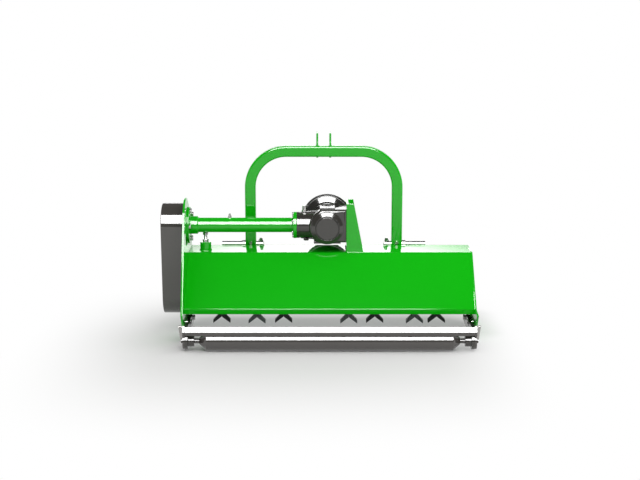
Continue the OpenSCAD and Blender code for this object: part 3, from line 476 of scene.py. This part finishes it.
def makeHeadstock():
    low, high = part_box("headstock_tube")
    half = headstock["side"] / 2
    y = (low.y + high.y) / 2
    bend = headstock["bend"]
    # the path goes up one leg, round a quarter circle, across, and down the other leg in the same way
    a = np.linspace(0, math.pi / 2, headstock["bendSteps"] + 1)
    left = np.stack([low.x + half + bend - bend * np.cos(a), high.z - half - bend + bend * np.sin(a)], 1)
    right = np.stack([low.x + high.x - left[:, 0], left[:, 1]], 1)[::-1]
    down = np.array([0, -headstock["lead"]])    # a short straight before and after each bend
    inwards = -down[::-1]
    flat = np.concatenate([[[left[0, 0], low.z]], [left[0] + down], left, [left[-1] + inwards],
                           [right[0] - inwards], right, [right[-1] + down], [[right[-1, 0], low.z]]])
    path = np.stack([flat[:, 0], np.full(len(flat), y), flat[:, 1]], 1)
    profile = filleted(boxSides(-half, -half, half, half), headstock["corner"])
    shape = tube(Shape(), path, profile, (0, 1, 0))
    # both feet are cut along the front panel and sink a little into it
    points = shape.points[0].reshape(len(path), len(profile), 3)
    for end in (0, -1):
        points[end, :, 2] = deckTop - frontSlope * (points[end, :, 1] - low.y) - headstock["sink"]
    return place(shape.piece("headstock_bow"), "headstock_tube")


# drive tube with its end pad, collar and flange, each as (radius, thickness)
driveTube = dict(pad=(0.074, 0.007), collar=(0.0365, 0.031), radius=0.030, wall=0.005, flange=(0.054, 0.014),
                 rounds=millimetres(1, 1.5, 1.5, 3, 2, 1.5, 4, 1.5, 1.5, 1), segments=128)


def makeDriveTube():
    low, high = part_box("drive_tube")
    centre = (0, (low.y + high.y) / 2, (low.z + high.z) / 2)
    radius = driveTube["radius"]
    bore = radius - driveTube["wall"]
    pad, padThick = driveTube["pad"]
    collar, collarLong = driveTube["collar"]
    flange, flangeThick = driveTube["flange"]
    x0, x1 = low.x + np.cumsum([padThick, collarLong])
    x2 = high.x - flangeThick
    # the section steps from the bore out to each radius in turn
    section = np.array([[low.x, bore], [low.x, pad], [x0, pad], [x0, collar], [x1, collar], [x1, radius],
                        [x2, radius], [x2, flange], [high.x, flange], [high.x, bore]])
    shape = lathe(Shape(), filleted(section, driveTube["rounds"]), centre, "X", driveTube["segments"])
    return place(shape.piece("drive_tube_body"), "drive_tube")


# belt cover: a pan with a rounded rim
beltCover = dict(rim=0.0022, land=0.0005, wall=0.004, topRadius=0.090, footRadius=0.081,
                 arcSteps=40, rimSteps=8)


def beltLoop(depth):
    # outline round two circles, less a depth: an arc on each, joined by the tangents that touch both
    low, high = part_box("belt_cover")
    top = np.array([low.y + beltCover["topRadius"], high.z - beltCover["topRadius"]])
    rotor = middle("rotor_pulley")[1:]
    way = rotor - top
    base = math.atan2(way[1], way[0])
    spread = math.acos((beltCover["topRadius"] - beltCover["footRadius"]) / np.linalg.norm(way))
    t = np.linspace(0, 1, beltCover["arcSteps"] + 1)
    a = base + spread + (2 * math.pi - 2 * spread) * t
    b = base - spread + 2 * spread * t
    first = top + (beltCover["topRadius"] - depth) * np.stack([np.cos(a), np.sin(a)], 1)
    second = rotor + (beltCover["footRadius"] - depth) * np.stack([np.cos(b), np.sin(b)], 1)
    return np.concatenate([first, second])


def makeBeltCover():
    low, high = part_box("belt_cover")
    rim, land, wall = beltCover["rim"], beltCover["land"], beltCover["wall"]
    # the outline shrinks along a quarter circle towards the outer face
    a = np.linspace(0, math.pi / 2, beltCover["rimSteps"] + 1)
    depths = np.concatenate([[0, 0], rim * (1 - np.cos(a)), [rim + land]])
    xs = np.concatenate([[high.x, low.x + rim + land], low.x + rim - rim * np.sin(a), [low.x]])
    outer = np.stack([across(beltLoop(d), x) for d, x in zip(depths, xs)])
    inner = np.stack([across(beltLoop(wall), x) for x in (high.x, low.x + wall)])
    shape = Shape().grid(np.concatenate([inner[::-1], outer]), closeCols=True, caps=("first", "last"))
    return place(shape.piece("belt_cover_pan"), "belt_cover")


# gearbox casting: a body with a neck, a seat for the rear cover, a front boss, a pad above, a foot below,
# and ribs that brace the neck; a rib's foot and tip are (distance from the neck's end, from its radius)
gearbox = dict(half=0.062, body=0.074, right=0.0775, low=0.063, high=0.071, round=0.012,
               arcSteps=40, roundSteps=8,
               neck=(0.0535, 0.062), neckBore=0.030, collar=0.011, collarStep=0.0018, neckLap=0.012,
               neckRounds=millimetres(0.5, 1.5, 0.8, 0.5, 1, 1),
               seat=0.0645, seatOut=0.012, seatBore=0.040, seatLap=0.020, flare=0.007, flareFrom=0.004,
               flareTo=0.012, seatRounds=millimetres(1, 1.2, 5, 1, 1, 1),
               boss=(0.046, 0.036), bossBore=0.020, bossLap=0.010, bossRound=0.002,
               padInset=0.014, padHigh=0.007, footHalf=0.0545, footLow=0.006, padLap=0.004, padRound=0.0018,
               ribThick=0.008, ribFoot=(0.014, 0.006), ribTip=(0.016, 0.002), ribEnd=0.030, ribSink=0.002,
               ribEdge=0.0025, ribCorner=0.0015)


def gearCentre():
    # the point where the axes of both shafts cross
    return middle("input_shaft")[0], *middle("output_shaft")[1:]


def addGearBody(shape, x, y, z):
    # the body's outline is a circle cut flat above and below, with a square end towards the bracket
    half, low, high, body = (gearbox[k] for k in ("half", "low", "high", "body"))
    first = math.pi - math.asin(high / body)
    last = math.pi + math.asin(low / body)
    a = np.linspace(first, last, gearbox["arcSteps"] + 1)
    arc = np.stack([x + body * np.cos(a), z + body * np.sin(a)], 1)
    square = boxSides(x, z - low, x + gearbox["right"], z + high)
    plate(shape, np.concatenate([square, arc]), y - half, y + half, gearbox["round"],
          steps=gearbox["roundSteps"], axis="Y")


def addGearTurnings(shape, x, y, z):
    # turned sections: the neck with its collar, the rear cover's seat that flares into the body, the front boss
    half = gearbox["half"]
    neck, length = gearbox["neck"]
    bore, thin = gearbox["neckBore"], neck - gearbox["collarStep"]
    x0 = x - half - length
    x1 = x0 + gearbox["collar"]
    x2 = x - half + gearbox["neckLap"]
    section = np.array([[x0, bore], [x0, neck], [x1, neck], [x1, thin], [x2, thin], [x2, bore]])
    lathe(shape, filleted(section, gearbox["neckRounds"]), (0, y, z), "X")
    seat, bore = gearbox["seat"], gearbox["seatBore"]
    wide = seat + gearbox["flare"]
    rear = y - half - gearbox["seatOut"]
    y0, y1, y2 = (y - half + gearbox[k] for k in ("flareFrom", "flareTo", "seatLap"))
    section = np.array([[rear, bore], [rear, seat], [y0, seat], [y1, wide], [y2, wide], [y2, bore]])
    lathe(shape, filleted(section, gearbox["seatRounds"]), (x, 0, z), "Y")
    boss, length = gearbox["boss"]
    bore = gearbox["bossBore"]
    y0, y1 = y + half - gearbox["bossLap"], y + half + length
    section = np.array([[y0, bore], [y0, boss], [y1, boss], [y1, bore]])
    lathe(shape, filleted(section, gearbox["bossRound"]), (x, 0, z), "Y")


def addGearPads(shape, x, y, z):
    # flat pad above the body and foot below it
    half, low, high = (gearbox[k] for k in ("half", "low", "high"))
    deep = half - gearbox["padInset"]
    lap, corner = gearbox["padLap"], gearbox["padRound"]
    pad = boxSides(y - deep, z + high - lap, y + deep, z + high + gearbox["padHigh"])
    plate(shape, filleted(pad, corner), x - half / 2, x + half / 2, corner)
    foot = boxSides(y - deep, z - low - gearbox["footLow"], y + deep, z - low + lap)
    plate(shape, filleted(foot, corner), x - gearbox["footHalf"], x + gearbox["footHalf"], corner)


def addGearRibs(shape, x, y, z):
    # a sloped rib above the neck and one below
    neck, length = gearbox["neck"]
    left = x - gearbox["half"] - length
    rise = min(gearbox["high"], gearbox["low"]) - gearbox["ribSink"]
    thick, foot, tip, end = (gearbox[k] for k in ("ribThick", "ribFoot", "ribTip", "ribEnd"))
    for side in (1, -1):
        rib = np.array([[left + foot[0], z + side * (neck - foot[1])],
                        [left + tip[0], z + side * (neck + tip[1])],
                        [x - end, z + side * rise], [x - end, z + side * end]])
        plate(shape, filleted(rib, gearbox["ribCorner"]), y - thick / 2, y + thick / 2, gearbox["ribEdge"],
              axis="Y")


def makeCasting():
    shape = Shape()
    for addForm in (addGearBody, addGearTurnings, addGearPads, addGearRibs):
        addForm(shape, *gearCentre())
    return place(shape.piece("gearbox_casting"), "gearbox_housing")


# rear cover: a flat face, a groove round it and a skirt down to its seat
gearCover = dict(flat=0.0445, step=0.0030, groove=0.004, grooveFloor=(0.001, 0.003), land=(0.004, 0.006),
                 skirt=0.004, rounds=millimetres(0.02, 1, 0.4, 0.4, 0.4, 0.4, 1.2, 0.6, 0.02), support=0.0002,
                 segments=128)


def makeGearCover():
    # the section goes from the axis across the face, down into the groove, up to the land and down the skirt
    x, y, z = gearCentre()
    rear = y - gearbox["half"] - gearbox["seatOut"]
    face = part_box("gearbox_rear_cover")[0].y
    flat, seat = gearCover["flat"], gearbox["seat"]
    step = face + gearCover["step"]
    groove = step + gearCover["groove"]
    floor0, floor1 = (flat + d for d in gearCover["grooveFloor"])
    land0, land1 = (flat + d for d in gearCover["land"])
    section = np.array([[face, axleHole], [face, flat], [groove, floor0], [groove, floor1], [step, land0],
                        [step, land1], [rear - gearCover["skirt"], seat], [rear, seat], [rear, axleHole]])
    outline = filleted(section, gearCover["rounds"], support=gearCover["support"])
    shape = lathe(Shape(), outline, (x, 0, z), "Y", gearCover["segments"])
    return place(shape.piece("gearbox_cover_disc"), "gearbox_rear_cover")


# hexagon plug below the neck
drainPlug = dict(back=0.024, flat=0.021, lap=0.002, long=0.010)


def makeDrainPlug():
    x, y, z = gearCentre()
    neck = gearbox["neck"][0]
    centre = (x - gearbox["half"] - drainPlug["back"], y, z)
    shape = hexPrism(Shape(), centre, "Z", drainPlug["flat"], -neck + drainPlug["lap"], -neck - drainPlug["long"])
    return place(shape.piece("drain_plug"), "gearbox_housing", replaces=False)


# guard bowl round the input spline: a hub, a cone and a mouth with a raised rim, given as (height, width)
guard = dict(radius=0.104, root=0.046, hub=0.07696, neck=0.017, bell=0.031, wall=0.004, rim=(0.0042, 0.003),
             lag=0.0012, rounds=millimetres(0.5, 4, 5, 2.5, 0.4, 0.5, 0.8, 0.8, 2, 4, 2, 0.5), steps=8,
             segments=144)


def makeGuard():
    low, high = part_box("pto_guard")
    centre = middle("pto_guard")
    r, t, hub, root, lag = (guard[k] for k in ("radius", "wall", "hub", "root", "lag"))
    side = r - guard["rim"][0]
    mouth = high.y - guard["rim"][1]
    y0, y1, y2 = low.y, low.y + guard["neck"], low.y + guard["bell"]
    # the section follows the outer wall out to the rim, and the inner wall back, a little further forward
    section = np.array([[y0, root], [y0, hub], [y1, hub], [y2, side], [mouth, side], [mouth, r], [high.y, r],
                        [high.y, side - t], [y2 + lag, side - t], [y1 + lag, hub - t], [y0 + t, hub - t],
                        [y0 + t, root]])
    outline = filleted(section, guard["rounds"], guard["steps"])
    shape = lathe(Shape(), outline, (centre[0], 0, centre[2]), "Y", guard["segments"])
    return place(shape.piece("guard_bowl"), "pto_guard")


# rear roller with cone ends
roller = dict(radius=0.038, inset=0.096, cone=0.028, coneEnd=0.013, shaft=0.010,
              rounds=millimetres(0.02, 1, 0.5, 1, 2, 2, 1, 0.5, 1, 0.02), segments=128)


def makeRoller():
    low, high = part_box("roller")
    centre = middle("roller")
    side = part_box("hood_sheet")
    left = side[0].x + roller["inset"]
    right = side[1].x - roller["inset"]
    r, cone, end, shaft = (roller[k] for k in ("radius", "cone", "coneEnd", "shaft"))
    # the section goes along the shaft, up one cone, along the drum and down the other cone
    section = np.array([[low.x, axleHole], [low.x, shaft], [left - cone, shaft], [left - cone, end], [left, r],
                        [right, r], [right + cone, end], [right + cone, shaft], [high.x, shaft],
                        [high.x, axleHole]])
    outline = filleted(section, roller["rounds"])
    shape = lathe(Shape(), outline, (0, centre[1], centre[2]), "X", roller["segments"])
    return place(shape.piece("roller_drum"), "roller")


makeHood()
makeHeadstock()
makeDriveTube()
makeBeltCover()
makeCasting()
makeGearCover()
makeDrainPlug()
makeGuard()
makeRoller()
print("main shells made")


# tension bolt: hexagon head over a rod whose radius follows a helix
tensionBolt = dict(radius=0.007, depth=0.0008, pitch=0.002, head=0.010, flat=0.024, flatShare=0.866, lap=0.0005,
                   rings=240, sides=32)


def makeTensionBolt():
    low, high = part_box("tension_bolt")
    x, y, _ = middle("tension_bolt")
    neck = high.z - tensionBolt["head"]
    z = np.linspace(low.z, neck + tensionBolt["lap"], tensionBolt["rings"])[:, None]
    a = np.linspace(0, 2 * math.pi, tensionBolt["sides"], endpoint=False)[None, :]
    # the radius dips by the thread's depth once in every pitch of height, later by the angle round the rod
    wave = 0.5 - 0.5 * np.cos(2 * math.pi * (z - low.z) / tensionBolt["pitch"] - a)
    r = tensionBolt["radius"] - tensionBolt["depth"] * wave
    points = np.stack([x + r * np.cos(a), y + r * np.sin(a), np.broadcast_to(z, r.shape)], -1)
    shape = Shape().grid(points, closeCols=True, caps=("first", "last"))
    wide = min(high.x - low.x, tensionBolt["flat"])
    hexPrism(shape, (x, y, 0), "Z", wide * tensionBolt["flatShare"], neck, high.z)
    return place(shape.piece("tension_bolt_threaded"), "tension_bolt")


makeTensionBolt()


# weld beads where plates and tubes meet; link is the top-link plates' thickness, linkRear and linkFront are
# what a bead leaves free at its ends
beads = dict(foot=0.0036, tube=0.0028, link=0.008, linkRear=0.002, linkFront=0.006)


def makeBeads():
    # each leg's foot, down both sides and across the front panel
    low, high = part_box("headstock_tube")
    legs = Shape()
    side = headstock["side"]
    for x in (low.x, high.x - side):
        foot = np.array([[x, low.y], [x, high.y], [x + side, high.y], [x + side, low.y]])
        bead(legs, np.column_stack([foot, deckTop - frontSlope * (foot[:, 1] - low.y)]), beads["foot"])
    place(legs.piece("leg_beads"), "headstock_tube", replaces=False)
    # the top-link plates' feet, along the crossbar's top
    top, front = high.z, high.y
    low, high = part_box("top_link_plates")
    links = Shape()
    for x in (low.x, low.x + beads["link"], high.x - beads["link"], high.x):
        line = np.array([[x, low.y + beads["linkRear"], top], [x, front - beads["linkFront"], top]])
        bead(links, line, beads["tube"])
    place(links.piece("link_beads"), "top_link_plates", replaces=False)
    # bracket feet, round the outside of both gussets and along the web
    low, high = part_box("gearbox_bracket")
    feet = Shape()
    for y in (low.y, high.y):
        bead(feet, np.array([[low.x, y, deckTop], [high.x, y, deckTop]]), beads["foot"])
    bead(feet, np.array([[low.x, low.y, deckTop], [low.x, high.y, deckTop]]), beads["foot"])
    place(feet.piece("bracket_beads"), "gearbox_bracket", replaces=False)
    # post foot and the drive tube's collar and flange
    low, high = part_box("tension_post")
    post = bead(Shape(), ring((*middle("tension_post")[:2], deckTop), (high.x - low.x) / 2, "Z"), beads["foot"])
    place(post.piece("post_bead"), "tension_post", replaces=False)
    low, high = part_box("drive_tube")
    centre = np.array([0, (low.y + high.y) / 2, (low.z + high.z) / 2])
    x0 = low.x + driveTube["pad"][1]
    tubes = Shape()
    for x, r in ((x0, driveTube["collar"][0]), (x0 + driveTube["collar"][1], driveTube["radius"]),
                 (high.x - driveTube["flange"][1], driveTube["radius"])):
        bead(tubes, ring(centre + [x, 0, 0], r, "X"), beads["tube"])
    place(tubes.piece("tube_beads"), "drive_tube", replaces=False)


makeBeads()


# the other nodes keep their solids' shape, with the sharp edges of a merged copy rounded off
edgeRounds = dict(left_side_plate=0.0012, right_side_plate=0.0012, skids=0.0010, gearbox_bracket=0.0012,
                  top_link_plates=0.0012, hitch_pin_left=0.0010, hitch_pin_right=0.0010, linch_pins=0.0004,
                  tension_post=0.0012, tension_nut=0.0006, breather_plug=0.0008, grease_nipple=0.0008,
                  m12_bolts=0.0006, m8_bolts=0.0005, knife_bolts=0.0006, rotor_drum=0.0010, rotor_lugs=0.0008,
                  rotor_bearings=0.0010, rotor_end_cap=0.0010, roller_bearings=0.0008, roller_arm_left=0.0010,
                  roller_arm_right=0.0010, scraper_bar=0.0008, flap_rod=0.0006)
edgeRounds.update({f"knife_{i}": 0.0007 for i in range(1, 14)})
edgeRounds.update({f"flap_{i}": 0.0008 for i in range(1, 5)})
# three far-row knives take the lighter blade copy, a painted highlight on steel that is the same as the rest
paintedLitKnives = ("knife_4", "knife_8", "knife_11")
# angles in degrees: faces merge below flat, shade smooth below smooth, and meet in a rounded edge above sharp
softEdges = dict(flat=0.6, smooth=30, sharp=32, segments=2)


def soften(node, width):
    mesh = frame["nodes"][node].data.copy()
    mesh.name = node + "_rounded"
    mesh.materials.clear()
    bm = bmesh.new()
    bm.from_mesh(mesh)
    bmesh.ops.remove_doubles(bm, verts=bm.verts, dist=mergeGap)
    bmesh.ops.dissolve_limit(bm, angle_limit=math.radians(softEdges["flat"]), verts=bm.verts, edges=bm.edges)
    bm.to_mesh(mesh)
    bm.free()
    mesh.polygons.foreach_set("use_smooth", np.full(len(mesh.polygons), True))
    mesh.set_sharp_from_angle(angle=math.radians(softEdges["smooth"]))
    obj = bpy.data.objects.new(node + "_rounded", mesh)
    scene.collection.objects.link(obj)
    bevel = obj.modifiers.new("edges", "BEVEL")
    bevel.width = width
    bevel.segments = softEdges["segments"]
    bevel.limit_method = "ANGLE"
    bevel.angle_limit = math.radians(softEdges["sharp"])
    bevel.harden_normals = True
    bevel.use_clamp_overlap = True
    return place(obj, node, look=paintedLitBlade if node in paintedLitKnives else None)


for node, width in edgeRounds.items():
    soften(node, width)
print("edges rounded on", len(edgeRounds), "nodes")


# floor and surroundings: fade, pale and the under share shape the floor's white share, in metres on the floor, so
# that it paints a soft shadow round the machine and painted light in the shade below it;
# rise and turn are the direction's Z and Y between which the mirrored surroundings change
stageLook = dict(floor=(0.69, 0.688, 0.682), floorRough=0.6, size=40.0,
                 fade=(0.12, 1.15), fadeCentre=(-0.05, -0.22, 0.0), fadeShape=(0.55, 1.0, 1.0),
                 paleRight=(0.45, 0.85), paleLeft=(-0.55, -1.20), mirrored=0.5,
                 under=0.36, underMiddle=(0.045, 0.16, 0.0), underHalf=(0.60, 0.14, 1.0), underSoft=0.14,
                 ambient=0.82, horizon=1.0, behind=0.14, zenith=0.08, rise=(0.25, 0.45), turn=(-0.45, 0.05))


def whiteAroundPaintedShadow(tree, spot):
    # painted shadow: the floor's white share grows with the distance from the machine, measured in ovals, and
    # sooner at its left and right, which paints the shape of a soft shadow round the machine;
    # two shares together are their sum less their product
    offset = vectorNode(tree, "SUBTRACT", spot, stageLook["fadeCentre"])
    oval = vectorNode(tree, "MULTIPLY", offset, stageLook["fadeShape"])
    pale = smoothRamp(tree, vectorNode(tree, "LENGTH", oval), *stageLook["fade"])
    split = addNode(tree, "ShaderNodeSeparateXYZ")
    tree.links.new(spot, split.inputs[0])
    for start, end in (stageLook["paleRight"], stageLook["paleLeft"]):
        beside = smoothRamp(tree, split.outputs["X"], start, end)
        both = mathNode(tree, "MULTIPLY", pale, beside)
        pale = mathNode(tree, "SUBTRACT", mathNode(tree, "ADD", pale, beside), both)
    # painted light: below the machine one share of white holds and lifts the shade there; the distance outside a
    # box on the floor blends it into the fade
    vector = spot
    for step, amount in (("SUBTRACT", stageLook["underMiddle"]), ("ABSOLUTE", (0, 0, 0)),
                         ("SUBTRACT", stageLook["underHalf"]), ("MAXIMUM", (0, 0, 0))):
        vector = vectorNode(tree, step, vector, amount)
    blend = smoothRamp(tree, vectorNode(tree, "LENGTH", vector), 0.0, stageLook["underSoft"])
    return mixNode(tree, blend, stageLook["under"], pale)


def makeFloor():
    half = stageLook["size"]
    shape = Shape().grid(np.array([[[-half, -half, 0], [half, -half, 0]], [[-half, half, 0], [half, half, 0]]]))
    floor = shape.piece("floor", smooth=False)
    mat = bpy.data.materials.new("paleFloor")
    mat.use_nodes = True
    tree = mat.node_tree
    shader = tree.nodes["Principled BSDF"]
    shader.inputs["Base Color"].default_value = (*stageLook["floor"], 1)
    shader.inputs["Roughness"].default_value = stageLook["floorRough"]
    shader.inputs["Specular IOR Level"].default_value = 0.0
    white = addNode(tree, "ShaderNodeEmission")
    rays = addNode(tree, "ShaderNodeLightPath")
    coords = addNode(tree, "ShaderNodeTexCoord")
    # the white shows to the camera, in reflections with a least share, and through glass, and lights nothing
    mirrored = mathNode(tree, "MULTIPLY", rays.outputs["Is Glossy Ray"], stageLook["mirrored"])
    pale = mathNode(tree, "MAXIMUM", whiteAroundPaintedShadow(tree, coords.outputs["Object"]), mirrored)
    seen = mathNode(tree, "MAXIMUM", rays.outputs["Is Camera Ray"], rays.outputs["Is Glossy Ray"])
    seen = mathNode(tree, "MAXIMUM", seen, rays.outputs["Is Transmission Ray"])
    mix = addNode(tree, "ShaderNodeMixShader")
    tree.links.new(mathNode(tree, "MULTIPLY", seen, pale), mix.inputs[0])
    tree.links.new(shader.outputs[0], mix.inputs[1])
    tree.links.new(white.outputs[0], mix.inputs[2])
    tree.links.new(mix.outputs[0], tree.nodes["Material Output"].inputs["Surface"])
    floor.data.materials.append(mat)


def makeWorld():
    # white behind the object; in a reflection white at eye level, dark overhead and behind the camera;
    # else a plain fill
    world = bpy.data.worlds.new("studio")
    scene.world = world
    world.use_nodes = True
    tree = world.node_tree
    back = tree.nodes["Background"]
    rays = addNode(tree, "ShaderNodeLightPath")
    coords = addNode(tree, "ShaderNodeTexCoord")
    split = addNode(tree, "ShaderNodeSeparateXYZ")
    tree.links.new(coords.outputs["Generated"], split.inputs[0])
    level = smoothRamp(tree, split.outputs["Y"], *stageLook["turn"], stageLook["behind"], stageLook["horizon"])
    sky = smoothRamp(tree, split.outputs["Z"], *stageLook["rise"], level, stageLook["zenith"])
    fill = mixNode(tree, rays.outputs["Is Glossy Ray"], stageLook["ambient"], sky)
    direct = mathNode(tree, "MAXIMUM", rays.outputs["Is Camera Ray"], rays.outputs["Is Transmission Ray"])
    tree.links.new(mixNode(tree, direct, fill, 1.0), back.inputs["Strength"])
    back.inputs["Color"].default_value = (1, 1, 1, 1)


# lamps: the sheet's near and far edges are given as (Y, Z)
lamps = dict(sheetNear=(-4.35, 1.80), sheetFar=(-1.42, 3.15), sheetWidth=2.6, sheetRadiance=21.0,
             horizon=(0, 7.0, 1.815), horizonTarget=(0, 0, 1.815), horizonSize=(7.0, 0.37), horizonRadiance=4.5,
             key=(0.8, -3.2, 4.0), keyRadiance=3.75, side=(3.4, 0.3, 2.8), sideRadiance=1.6,
             softTarget=(0, 0, 0.2), softSize=(2.4, 2.4))


def areaLamp(name, spot, target, size, radiance, diffuse, glossy):
    data = bpy.data.lights.new(name, "AREA")
    data.shape = "RECTANGLE"
    data.size, data.size_y = size
    data.energy = radiance * math.pi * size[0] * size[1]    # in proportion to the lamp's area
    lamp = bpy.data.objects.new(name, data)
    scene.collection.objects.link(lamp)
    lamp.location = spot
    direction = np.array(target, float) - np.array(spot, float)
    flat = math.hypot(direction[0], direction[1])
    tilt = math.atan2(flat, -direction[2])
    lamp.rotation_euler = (tilt, 0, math.atan2(direction[1], direction[0]) - math.pi / 2)
    lamp.visible_camera = False
    lamp.visible_diffuse = diffuse
    lamp.visible_glossy = glossy
    return lamp


def makeLight():
    # a long sheet of light between the camera and the machine, overhead, and a band beyond the machine are seen
    # only in reflections; two soft lamps light the machine and leave no reflection
    near = np.array(lamps["sheetNear"])
    far = np.array(lamps["sheetFar"])
    mid = (near + far) / 2
    along = far - near
    target = mid + np.array([along[1], -along[0]])
    sheet = (lamps["sheetWidth"], float(np.linalg.norm(along)))
    areaLamp("reflectedSheet", (0, *mid), (0, *target), sheet, lamps["sheetRadiance"], False, True)
    areaLamp("reflectedHorizon", lamps["horizon"], lamps["horizonTarget"], lamps["horizonSize"],
             lamps["horizonRadiance"], False, True)
    for name, key in (("softKey", "key"), ("softSide", "side")):
        areaLamp(name, lamps[key], lamps["softTarget"], lamps["softSize"], lamps[key + "Radiance"], True, False)


# camera at the photograph's view, its tilt in degrees from straight down
photoView = dict(lens=70, sensor=36, place=(0.0071, -4.9155, 1.351), tilt=78.9)


def makeCamera():
    data = bpy.data.cameras.new("photoView")
    data.lens = photoView["lens"]
    data.sensor_width = photoView["sensor"]
    camera = bpy.data.objects.new("photoView", data)
    scene.collection.objects.link(camera)
    camera.location = photoView["place"]
    camera.rotation_euler = (math.radians(photoView["tilt"]), 0, 0)
    scene.camera = camera


makeFloor()
makeWorld()
makeLight()
makeCamera()
print("stage set")
